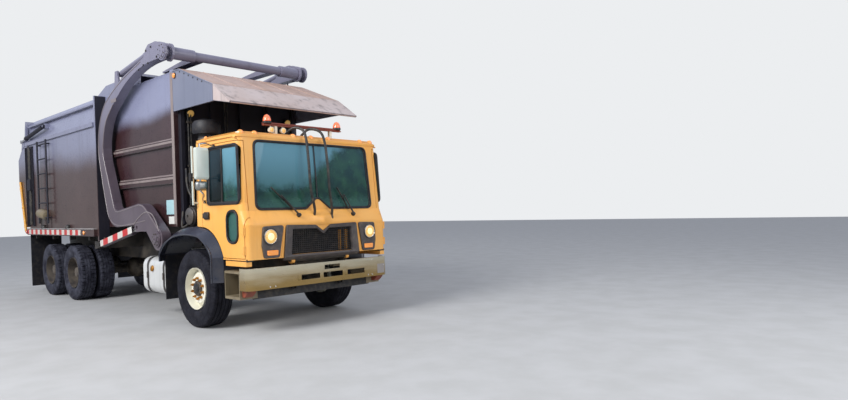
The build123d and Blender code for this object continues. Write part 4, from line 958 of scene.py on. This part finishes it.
def make_roof_lamps():
    """Amber marker lamps, beacon bar on its posts, two orange-red beacons and small work lamps."""
    lamps = Piece()
    bar_x, beacon_y, work_z = 0.966, 0.6, 2.69
    for y in (-1.1, -0.9, -0.3, 0, 0.3, 0.9, 1.1):
        lamps.box((1.075, 1.14), span(y, 0.044), (2.585, 2.612), CREAM)
        lamps.dome((1.118, y, 2.59), (0.8, 0, 0.8), 0.046, 0.05, AMBER)
    lamps.dome((0.42, -1.196, 2.585), (0, -1, 0.3), 0.03, 0.026, AMBER, 16, 5)
    bar = [(0.935, 2.745), (0.995, 2.745), (0.995, 2.76), (0.947, 2.76), (0.947, 2.79), (0.935, 2.79)]
    lamps.prism(bar, (-0.66, 0.66), RUSTY_RED)
    lamps.rod((bar_x, -0.655, 2.776), (bar_x, 0.655, 2.776), 0.016, RUSTY_RED, 12)
    base = [(0, 0.006), (0, 0.06), (0.028, 0.06), (0.03, 0.052), (0.034, 0.006)]
    for _ in lamps.both_sides():
        lamps.box((0.94, 0.985), (0.45, 0.49), (2.6205, 2.75), CREAM)
        lamps.lathe((bar_x, beacon_y, 2.775), UP, base, BLACK, 28)
        lamps.dome((bar_x, beacon_y, 2.805), UP, 0.056, 0.09, ORANGE_RED, 24, 8)
    shell = [(0, 0.006), (0, 0.036), (0.045, 0.042), (0.05, 0.036), (0.044, 0.006)]
    for y in (-0.55, -0.36):
        lamps.lathe((0.955, y, work_z), AHEAD, shell, CREAM, 20)
        lamps.dome((1, y, work_z), AHEAD, 0.034, 0.01, LAMP_LENS, 20, 4)
        lamps.rod((0.965, y, 2.725), (0.965, y, 2.75), 0.008, CREAM, 8)
    lamps.finish("roof_lamp_set", "cab", "lamp_lens", ["roof_lamps"], bevel=0.0015)


# Cab sides
DOOR_WINDOW = [(0.42, 1.7), (1.215, 1.7), (1.175, 2.445), (0.44, 2.445)]
PORTHOLE = rectangle((0.895, 1.185), (1.175, 1.615))


def make_door_trim():
    """Gaskets, divider, porthole surround, handle and lower hinges of each door."""
    edge, hole = rounded(DOOR_WINDOW, 0.065, 7), rounded(PORTHOLE, 0.135, 10)
    plate = rounded(rectangle((0.335, 1.5), (0.462, 1.6)), 0.022, 5)
    grip = rounded(rectangle((0.324, 1.514), (0.466, 1.586)), 0.016, 4)
    surround = ((1, -0.004), (1, 0.014), (0.95, 0.02), (0.87, 0.012), (0.87, -0.006))
    for side, hand in SIDES:
        trim = Piece(side)
        trim.tube(on_side(edge, 0.003), 0.018, RUBBER, 8, closed=True)
        trim.tube(on_side(shrunk(edge, (0.81, 2.07), 0.955), -0.01), 0.014, DARK_TRIM, 8, closed=True)
        trim.tube(on_side([(0.79, 1.715), (0.786, 2.43)], -0.004), 0.014, DARK_TRIM, 8)
        trim.tube(on_side([(0.44, 1.716), (1.19, 1.716)], 0.01), 0.01, BLACK, 8)
        trim.side_plate(hole, (1.035, 1.4), surround, RUBBER, closed=True)
        trim.side_plate(plate, (0.4, 1.55), ((1, -0.004), (1, 0.019), (0.93, 0.023)), BLACK)
        trim.side_plate(grip, (0.395, 1.55), ((1, 0), (1, 0.03), (0.92, 0.035)), BLACK)
        for low, high in ((1.045, 1.155), (1.285, 1.395)):
            trim.rod((1.2885, 1.206, low), (1.2885, 1.206, high), 0.01, ORANGE, 12)
            trim.box((1.235, 1.285), (1.199, 1.207), (low + 0.02, high - 0.02), ORANGE)
        trim.finish(f"door_trim_{hand}", f"{hand}_door", "plastic_black", bevel=0)


def make_sills():
    """Orange sill under each door with a black strip in the gap above it as painted shade, and the drip rail
    over the doors.
    """
    sills = Piece()
    rail = [(0.2, 2.545), (0.42, 2.558), (1.02, 2.556), (1.15, 2.53)]
    for _ in sills.both_sides():
        sills.box((0.815, 1.3), (1.1, 1.186), (0.895, 0.96), ORANGE)
        # Painted shade: a black strip in the gap above the sill.
        sills.box((0.8, 1.31), (1.08, 1.178), (0.955, 0.99), BLACK)
        sills.curve([(x, 1.196, z) for x, z in rail], 0.011, ORANGE, 8, 6)
        sills.rod((0.1, 1.15, 2.36), (0.1, 1.15, 1.3), 0.014, BLACK, 10)
    sills.finish("cab_sills", "cab", "cab_paint", bevel=0.004)


def make_mirrors():
    """Tall mirrors with a spot mirror under each, on tube brackets from the cab's side."""
    y, wall, plate = 1.46, 1.2085, 1.211
    low, high = span(y, 0.093)
    centre, spot_centre = (y, 2.215), (y, 1.932)
    head = rounded(rectangle((low, 2.012), (high, 2.418)), 0.03, 5)
    spot = rounded(rectangle((y - 0.083, 1.872), (y + 0.083, 1.992)), 0.048, 7)
    brackets = (
        ((0.736, y, 2.466), (0.725, 1.36, 2.48), (0.66, 1.27, 2.474), (0.62, wall, 2.465)),
        ((0.736, y, 1.864), (0.7, 1.4, 1.82), (0.46, 1.29, 1.755), (0.345, wall, 1.74)))
    back = ((0.749, 0.97), (0.755, 1), (0.79, 1), (0.804, 0.95), (0.812, 0.84))
    spot_back = ((0.748, 1), (0.77, 1), (0.792, 0.88), (0.806, 0.62), (0.81, 0.3))
    for side, hand in SIDES:
        mirror = Piece(side)
        mirror.plate(head, centre, back, MIRROR_CREAM)
        mirror.plate(head, centre, ((0.7455, 0.985), (0.75, 0.985)), DARK_TRIM)
        mirror.plate(head, centre, ((0.744, 0.93), (0.7456, 0.93)), MIRROR_GLASS)
        mirror.plate(spot, spot_centre, spot_back, SPOT_BACK)
        mirror.plate(spot, spot_centre, ((0.7475, 0.95), (0.744, 0.7)), MIRROR_GLASS)
        mirror.rod((0.736, y, 1.862), (0.736, y, 2.468), 0.012, BRIGHT, 12)
        for bracket in brackets:
            mirror.curve(bracket, 0.011, BRIGHT, 10, 6)
        mirror.rod((0.736, y, 2.14), (0.36, 1.215, 2.06), 0.009, BRIGHT, 10)
        for x, z in ((0.62, 2.465), (0.345, 1.74), (0.36, 2.06)):
            mirror.box(span(x, 0.024), (1.1995, plate), span(z, 0.02), BLACK)
            places = [(x - 0.014, plate, z + 0.011), (x + 0.014, plate, z - 0.011)]
            mirror.bolts(places, OUT, 0.006, 0.005, BRIGHT)
        for z in (2.05, 2.38):
            mirror.box((0.728, 0.75), span(y, 0.02), span(z, 0.016), DARK_TRIM)
        mirror.box((0.31, 0.37), (1.372, 1.402), (2.01, 2.12), BLACK)
        mirror.rod((0.34, 1.387, 2.06), (0.36, 1.215, 2.06), 0.008, BLACK, 8)
        mirror.finish(f"mirror_head_{hand}", f"{hand}_door", "step_grey", [f"mirror_{hand}"], bevel=0.0015)


def make_bumper_parts():
    """Blank plate, tow brackets, a black valance panel under the bumper as painted shade, and mounting bolts
    of the bumper.
    """
    parts = Piece()
    plate = rounded(rectangle((0.985, 0.625), (1.12, 0.765)), 0.012, 4)
    parts.plate(plate, (0, 0), ((1.3525, 1), (1.36, 1)), PALE_GREY)
    parts.bolts([(1.36, 1, 0.75), (1.36, 1.105, 0.75)], AHEAD, 0.006, 0.004, BRIGHT)
    # Painted shade: a black panel under the bumper, where its underside is in shade.
    parts.prism([(1.06, 0.6), (1.13, 0.6), (1.15, 0.46), (1.11, 0.45), (1.08, 0.5)], (-0.99, 0.99), BLACK)
    bracket = [(1.15, 0.589), (1.29, 0.589), (1.27, 0.555), (1.2, 0.5), (1.15, 0.505)]
    eye = [(0, 0.02), (0, 0.034), (0.05, 0.034), (0.06, 0.028), (0.06, 0.02)]
    for _ in parts.both_sides():
        parts.prism(bracket, (1.04, 1.16), RUSTY_RED)
        for y in (0.8, 0.88):
            parts.bolts([(1.354, y, 0.84), (1.354, y, 0.62)], AHEAD, 0.011, 0.007, BRIGHT)
        parts.lathe((1.16, 0.4, 0.56), AHEAD, eye, BLACK, 20)
    parts.finish("bumper_parts", "chassis", "bumper_chrome", bevel=0.002)


def make_fender_lip():
    """Rolled edge along each front fender's free lip, with its fixing bolts."""
    lips = Piece()
    route = [(-0.838, 0.905), (-0.838, 1), (-0.772, 1.1), (-0.63, 1.184), (-0.34, 1.28), (-0.17, 1.302),
             (0, 1.308), (0.17, 1.302), (0.34, 1.28), (0.55, 1.166), (0.645, 1.08), (0.678, 1),
             (0.679, 0.85), (0.679, 0.675)]
    places = [(x, 1.2, z) for x, z in ((-0.34, 1.36), (0, 1.388), (0.34, 1.36))]
    for _ in lips.both_sides():
        lips.curve([(x, 1.318, z - 0.006) for x, z in route], 0.01, FENDER)
        lips.bolts(places, (0, 1, 0.6), 0.01, 0.012, STEEL)
    lips.finish("fender_lips", "chassis", "fender_black", bevel=0)


# Canopy and hopper


def make_canopy_plates():
    """Worn plates on the canopy's top and front slope, lip angle, bolts along the cheeks and the lamps."""
    plates = Piece()
    half, edge_y = 1.089, 1.087
    lamp_x, lamp_z = -0.655, 3.615
    top = [(-0.716, 3.691), (-0.506, 3.686), (0.43, 3.3295), (0.432, 3.336), (-0.504, 3.693), (-0.716, 3.698)]
    slope = [(0.44, 3.3245), (0.866, 3.0385), (0.871, 3.044), (0.444, 3.331)]
    for points, material in ((top, CANOPY_TOP), (slope, CANOPY_FRONT)):
        plates.prism(points, (-half, half), material)
    cheek = [(0.446, 3.318), (0.868, 3.034), (0.852, 3.023), (0.446, 3.105)]
    edge = [(-0.716, edge_y, 3.688), (-0.506, edge_y, 3.683), (0.444, edge_y, 3.321)]
    heads = ((-0.49, 3.645), (-0.36, 3.597), (-0.23, 3.548), (-0.1, 3.499), (0.03, 3.45), (0.15, 3.404))
    for _ in plates.both_sides():
        plates.prism(cheek, (1.0855, 1.0885), CANOPY_FRONT)
        plates.rod((0.441, 1.09, 3.325), (0.441, 1.09, 3.102), 0.007, CANOPY_SIDE, 8)
        plates.tube(edge, 0.01, CANOPY_SIDE, 8)
        for x, z in heads:
            plates.rod((x, 1.084, z), (x, 1.0895, z), 0.013, BLACK, 10)
        plates.lathe((lamp_x, 1.083, lamp_z), OUT, button(0.046, 0.012, 0.005), BLACK, 20)
        plates.dome((lamp_x, 1.097, lamp_z), OUT, 0.038, 0.02, AMBER, 20, 5)
    plates.tube([(0.861, -1.07, 3.026), (0.861, 1.07, 3.026)], 0.009, CANOPY_TOP, 8)
    for y in (-0.72, -0.24, 0.24, 0.72):
        plates.tube([(-0.49, y, 3.69), (0.425, y, 3.34)], 0.006, CANOPY_TOP, 6)
    shell = [(0, 0.006), (0, 0.052), (0.045, 0.066), (0.055, 0.06), (0.046, 0.006)]
    for y in (-0.86, 0.86):
        plates.lathe((-0.7, y, 3.1), (1, 0, -0.35), shell, BLACK, 20)
        plates.dome((-0.645, y, 3.081), (1, 0, -0.35), 0.054, 0.012, LAMP_LENS, 20, 4)
    plates.finish("canopy_plates", "chassis", "canopy_paint", bevel=0.0015)


def make_hopper_edges():
    """Pale caps on the hopper's ribs and pale edge plates on its front posts as painted highlights,
    near-black fin faces as painted shade, and two blank labels.
    """
    edges = Piece()
    rear, front = -3.42, -0.815
    post = rectangle((-0.805, 1.44), (-0.727, 3.68))
    labels = (((-1.165, -0.915), (1.585, 1.805), LABEL_BLUE), ((-1.1, -0.835), (1.44, 1.555), WHITE_PLATE))
    for _ in edges.both_sides():
        # Painted shade: a near-black skin over each fin's front face.
        edges.box((-3.4305, -3.4265), (1.035, 1.214), (1.155, 3.704), SHADE)
        # Painted highlight: pale caps over the ribs.
        for low, high in ((2.6, 2.7), (2.04, 2.16)):
            section = [(1.031, high + 0.03), (1.078, high - 0.02), (1.079, high - 0.052),
                       (1.076, high - 0.052), (1.074, high - 0.022), (1.031, high + 0.02)]
            edges.plate(section, (0, 0), ((rear, 1), (front, 1)), RIB_EDGE)
            edges.tube([(rear, 1.077, low + 0.006), (front, 1.077, low + 0.006)], 0.005, DARK_TRIM, 6)
        # Painted highlight: a pale edge plate and rod on the front post.
        edges.prism(post, (1.0852, 1.088), RIB_EDGE)
        edges.rod((-0.728, 1.086, 1.42), (-0.728, 1.086, 3.08), 0.008, RIB_EDGE, 8)
        for x, z, material in labels:
            edges.box(x, (1.0305, 1.0345), z, material)
    edges.finish("hopper_edges", "chassis", "body_paint", bevel=0.0015)


def make_hopper_front():
    """Front wall of the hopper behind the cab in near-black as painted shade, with stiffeners and pipe runs.
    """
    wall = Piece()
    # Painted shade: the wall and its stiffeners are near-black.
    wall.box((-0.7195, -0.708), (-1.02, 1.02), (1.42, 3.655), SHADE)
    for y in (-0.98, -0.5, 0, 0.5, 0.98):
        wall.box((-0.709, -0.66), span(y, 0.03), (1.44, 3.6), SHADE)
    for z in (2.02, 2.86):
        wall.box((-0.709, -0.672), (-0.95, 0.95), span(z, 0.04), SHADE)
    for y in (-0.9, -0.86, -0.3, -0.26, 0.42):
        wall.rod((-0.65, y, 1.45), (-0.65, y, 3.45), 0.013, HOSE, 10)
    for z in (1.7, 2.3, 2.95):
        wall.box((-0.665, -0.636), (-0.925, -0.835), span(z, 0.015), STEEL)
    wall.finish("hopper_front_wall", "chassis", "frame_black", bevel=0.002)


# Arms


def make_arm_details():
    """Edge flanges, bolted cover plates and weld lines of the lift arms, with their ram hoses; the flanges,
    welds and a small plate are pale as painted highlights.
    """
    arms = Piece()
    face = 1.2455
    foot_x, foot_z = -1.05, 1.22
    top_x, top_z = -0.7, 3.955
    outer = [(-0.97, 1.335), (-1.42, 1.668), (-1.6, 1.738), (-1.8, 1.73), (-2.48, 1.653), (-2.63, 1.705),
             (-2.7, 1.845), (-3.012, 2.55), (-3.038, 2.75), (-2.9, 3.145), (-2.55, 3.425)]
    back = [(-1.44, 1.5), (-1.86, 1.462), (-2, 1.447), (-2.48, 1.427), (-2.78, 1.505), (-2.938, 1.698),
            (-3.172, 2.436), (-3.232, 2.8), (-3.13, 3.188), (-2.948, 3.422), (-2.693, 3.573), (-2.165, 3.762),
            (-1.43, 3.93)]
    weld = [(-1.885, 1.435), (-1.7, 1.54), (-1.44, 1.628), (-1.22, 1.6), (-1.08, 1.485), (-0.985, 1.345)]
    hose = [(-2.31, 3.985), (-2.45, 3.83), (-2.75, 3.7), (-3.1, 3.42), (-3.29, 2.85), (-3.2, 2.3),
            (-3.02, 1.76), (-2.9, 1.62)]
    foot_cover = [(0, 0.01), (0, 0.105), (0.014, 0.101), (0.016, 0.06), (0.03, 0.056), (0.033, 0.01)]
    top_cover = [(0, 0.01), (0, 0.112), (0.01, 0.108), (0.012, 0.075), (0.02, 0.07), (0.022, 0.01)]
    heads = ((-0.86, 3.905), (-1.16, 3.862), (-1.32, 3.86), (-1.49, 3.82), (-1.05, 4.085), (-1.22, 4.06))
    for _ in arms.both_sides():
        # Painted highlight: pale flanges and a pale weld line along the arm's face.
        for line in (outer, back):
            arms.curve([(x, face, z) for x, z in line], 0.007, ARM_EDGE, 6, 6)
        arms.curve([(x, face, z) for x, z in weld], 0.01, ARM_EDGE, 8, 6)
        arms.lathe((foot_x, 1.262, foot_z), OUT, foot_cover, ARM_GREY, 32)
        arms.bolts(ring_places((foot_x, 1.276, foot_z), 0.082, 8), OUT, 0.011, 0.012, STEEL)
        arms.lathe((top_x, face, top_z), OUT, top_cover, ARM_GREY, 32)
        arms.bolts(ring_places((top_x, 1.255, top_z), 0.092, 8), OUT, 0.01, 0.01, STEEL)
        for x, z in heads:
            arms.rod((x, face, z), (x, 1.254, z), 0.017, BLACK, 8)
        # Painted highlight: a pale plate.
        arms.box((-2.62, -2.4), (face, 1.251), (3.46, 3.52), ARM_EDGE)
        for shift in (0, 0.03):
            arms.curve([(x - shift, 1.125, z) for x, z in hose], 0.01, HOSE, 8, 6)
    arms.finish("arm_details", "arms", "ram_paint", bevel=0.001)


def make_ram_plates():
    """Red and white tape plate along each lift ram's barrel, with its standoffs and port fittings."""
    plates = Piece()
    start, end = Vector((-3.395, 0, 1.095)), Vector((-1.77, 0, 1.395))
    run = (end - start).normalized()
    up = Vector((-run.z, 0, run.x))
    half = up * 0.052
    for _ in plates.both_sides():
        for near, far, material in ((0.1, 1.3, RAM_TAPE), (1.302, 1.46, WHITE_PLATE)):
            foot, tip = start + run * near, start + run * far
            corners = [(p.x, p.z) for p in (foot - half, tip - half, tip + half, foot + half)]
            plates.prism(corners, (1.246, 1.25), material)
        for reach in (0.3, 0.75, 1.15):
            x, _, z = start + run * reach
            plates.box(span(x, 0.02), (1.225, 1.247), span(z, 0.02), CHASSIS)
        for reach in (0.16, 1.22):
            x, _, z = start + run * reach + up * 0.066
            plates.box(span(x, 0.025), (1.153, 1.197), (z - 0.015, z + 0.03), CAST)
    plates.finish("lift_ram_plates", "lift_ram_barrels", "ram_paint", bevel=0.001)


# Body sides


def make_ledges():
    """Ledge along each side of the load body, with a pale grey top over brown, its tape, side lamps and
    things left on it.
    """
    ledges = Piece()
    inner = 1.216
    run = (-7.4, -3.49)
    bottle_y = -1.262
    for _ in ledges.both_sides():
        ledges.box(run, (inner, 1.285), (1.362, 1.38), PALE_GREY)
        ledges.box(run, (inner, 1.28), (1.238, 1.362), BROWN)
        ledges.box((-7.38, -4.15), (1.2802, 1.283), (1.255, 1.352), LEDGE_TAPE)
        for x, material in ((-3.97, AMBER), (-7.44, RED_LENS)):
            ledges.lathe((x, 1.272, 1.3), OUT, button(0.044, 0.012), BLACK, 20)
            ledges.dome((x, 1.286, 1.3), OUT, 0.036, 0.018, material, 18, 5)
        for x in (-6.35, -4.9):
            ledges.dome((x, 1.25, 1.38), UP, 0.055, 0.075, BLACK, 16)
        for x in (-7.1, -6, -5, -4):
            ledges.box((x, x + 0.05), (1.1, 1.2), (1.16, 1.24), CHASSIS)
    bottle = [(0, 0.01), (0.006, 0.075), (0.05, 0.098), (0.36, 0.098), (0.42, 0.07), (0.44, 0.02),
              (0.44, 0.01)]
    ledges.lathe((-6.52, bottle_y, 1.7), (1, 0, -0.12), bottle, STEP_GREY, 28)
    for x in (-6.1, -6.46):
        ledges.rod((x, bottle_y, 1.655), (x, bottle_y, 1.38), 0.012, CHASSIS, 8)
    ledges.finish("ledge_details", "chassis", "body_paint", bevel=0.002)


def make_tank_straps():
    """Dark straps round the fuel tank, its end rims and its filler cap."""
    straps = Piece()
    section = rounded(rectangle((-1.1545, 0.3555), (-0.6155, 0.9345)), 0.154, 8)
    centre = (-0.885, 0.645)
    for x in (-1.655, -1.105):
        steps = ((x, 0.992), (x, 1.006), (x + 0.055, 1.006), (x + 0.055, 0.992))
        straps.plate(section, centre, steps, DARK_TRIM, closed=True)
        straps.rod((x + 0.027, -1.165, 0.6), (x + 0.027, -1.165, 0.7), 0.012, STEEL, 8)
    for x in (-1.797, -0.963):
        straps.plate(section, centre, ((x - 0.004, 0.97), (x + 0.004, 0.97)), ALLOY)
    cap = [(0, 0.006), (0, 0.046), (0.02, 0.046), (0.026, 0.036), (0.028, 0.006)]
    straps.lathe((-1.46, -1.148, 0.755), (0, -1, 0.25), cap, GOLD_NUT, 24)
    straps.finish("tank_straps", "chassis", "tank_metal", bevel=0.002)


def make_prop_and_lamps():
    """Yellow sleeve on the tailgate's prop bar, tail lamps and the tailgate's ribs."""
    gear = Piece()
    top, foot = Vector((-7.945, -1.238, 2.41)), Vector((-7.655, -1.238, 1.31))
    gear.rod(top, foot, 0.024, YELLOW, 14)
    for share in (0.12, 0.5, 0.88):
        place = top.lerp(foot, share)
        gear.rod(place, place + Vector((0.012, 0, -0.045)), 0.029, YELLOW, 14)
    for y in (-0.86, -0.43, 0, 0.43, 0.86):
        gear.box((-8.118, -8.095), span(y, 0.045), (2.38, 2.88), BROWN)
    for z in (2.38, 2.85):
        gear.box((-8.122, -8.095), (-1.15, 1.15), span(z, 0.035), BROWN)
    down = (-1, 0, -0.45)
    for _ in gear.both_sides():
        for step, material in enumerate((RED_LENS, RED_LENS, AMBER)):
            y = 1.02 - 0.135 * step
            gear.lathe((-7.775, y, 1.56), down, button(0.06, 0.022), BLACK, 20)
            gear.dome((-7.797, y, 1.55), down, 0.05, 0.016, material, 20, 4)
    gear.finish("tailgate_gear", "gate", "body_paint")


def make_rear_frame():
    """Posts, clamps and a valve block in near-black as painted shade, with hose runs, on the load body's
    sides in front of the tailgate.
    """
    posts = Piece()
    inner, plate = 1.2205, 1.2265
    height = (1.42, 3.14)
    valve = rounded(rectangle((-7.34, 2.2), (-7.12, 2.44)), 0.02, 3)
    for _ in posts.both_sides():
        # Painted shade: near-black posts, clamps and valve block.
        for x, wide, deep in ((-7.4, 0.06, 0.04), (-7.05, 0.045, 0.026)):
            posts.box((x - wide, x + wide), (inner, plate), height, SHADE)
            for edge in (x - wide, x + wide - 0.008):
                posts.box((edge, edge + 0.008), (inner, inner + deep), height, SHADE)
        for x, radius in ((-7.27, 0.017), (-7.22, 0.014), (-7.175, 0.014)):
            run = [(x, 1.24, 1.46), (x, 1.24, 2.3), (x - 0.01, 1.24, 3.02), (x - 0.05, 1.236, 3.12),
                   (x - 0.1, 1.228, 3.15)]
            posts.curve(run, radius, HOSE, 10, 6)
        for z in (1.62, 2.1, 2.58, 3):
            posts.box((-7.33, -7.13), (inner, plate), span(z, 0.022), SHADE)
            posts.bolts([(-7.31, plate, z), (-7.15, plate, z)], OUT, 0.009, 0.007, STEEL)
        posts.prism(valve, (1.232, 1.272), SHADE)
    posts.finish("rear_frame_posts", "chassis", "body_paint", bevel=0.0015)


def make_air_intake():
    """Air intake stack behind the cab with a rounded rain cap, a round cleaner drum and hoses."""
    stack = Piece()
    x, y = -0.225, -0.84
    drum_x, drum_z = -0.26, 1.55
    cap = [(0, 0.02), (0, 0.185), (0.035, 0.198), (0.14, 0.198), (0.19, 0.17), (0.215, 0.1), (0.22, 0.02)]
    stack.lathe((x, y, 2.725), UP, cap, RUBBER, 36)
    stack.rod((x, y, drum_z), (x, y, 2.73), 0.115, RUBBER, 28)
    for z in (1.75, 2.2, 2.64):
        stack.lathe((x, y, z), UP, [(0, 0.112), (0, 0.124), (0.03, 0.124), (0.03, 0.112)], STEEL, 32)
    stack.rod((drum_x, -1.1, drum_z), (drum_x, -0.72, drum_z), 0.135, CAST, 28)
    lid = [(-0.01, 0.02), (-0.01, 0.13), (0.03, 0.12), (0.05, 0.06), (0.052, 0.02)]
    stack.lathe((drum_x, -1.1, drum_z), (0, -1, 0), lid, STEEL, 28)
    hoses = (
        ((-0.26, -1, 1.68), (-0.42, -1.05, 1.95), (-0.6, -0.98, 2.25)),
        ((-0.2, -1.05, 1.66), (-0.05, -1.08, 1.85), (0.02, -1.02, 2.05)),
        ((-0.34, -1.08, 1.45), (-0.55, -1.09, 1.4), (-0.66, -1.02, 1.62)),
        ((-0.1, -1.02, 1.52), (-0.02, -1.1, 1.42), (-0.16, -1.12, 1.36)))
    for hose in hoses:
        stack.curve(hose, 0.017, HOSE, 8)
    stack.finish("air_stack", "chassis", "plastic_black", ["air_intake"], bevel=0.002)


make_camera()
dress_nodes()
make_studio()
make_tyres()
make_wheel_studs()
make_windshield_trim()
make_wipers()
make_cowl_hoses()
make_cowl_form()
make_grille()
make_headlamps()
make_roof_lamps()
make_door_trim()
make_sills()
make_mirrors()
make_bumper_parts()
make_fender_lip()
make_canopy_plates()
make_hopper_edges()
make_hopper_front()
make_arm_details()
make_ram_plates()
make_ledges()
make_tank_straps()
make_prop_and_lamps()
make_rear_frame()
make_air_intake()

bpy.context.scene.view_settings.view_transform = "Standard"
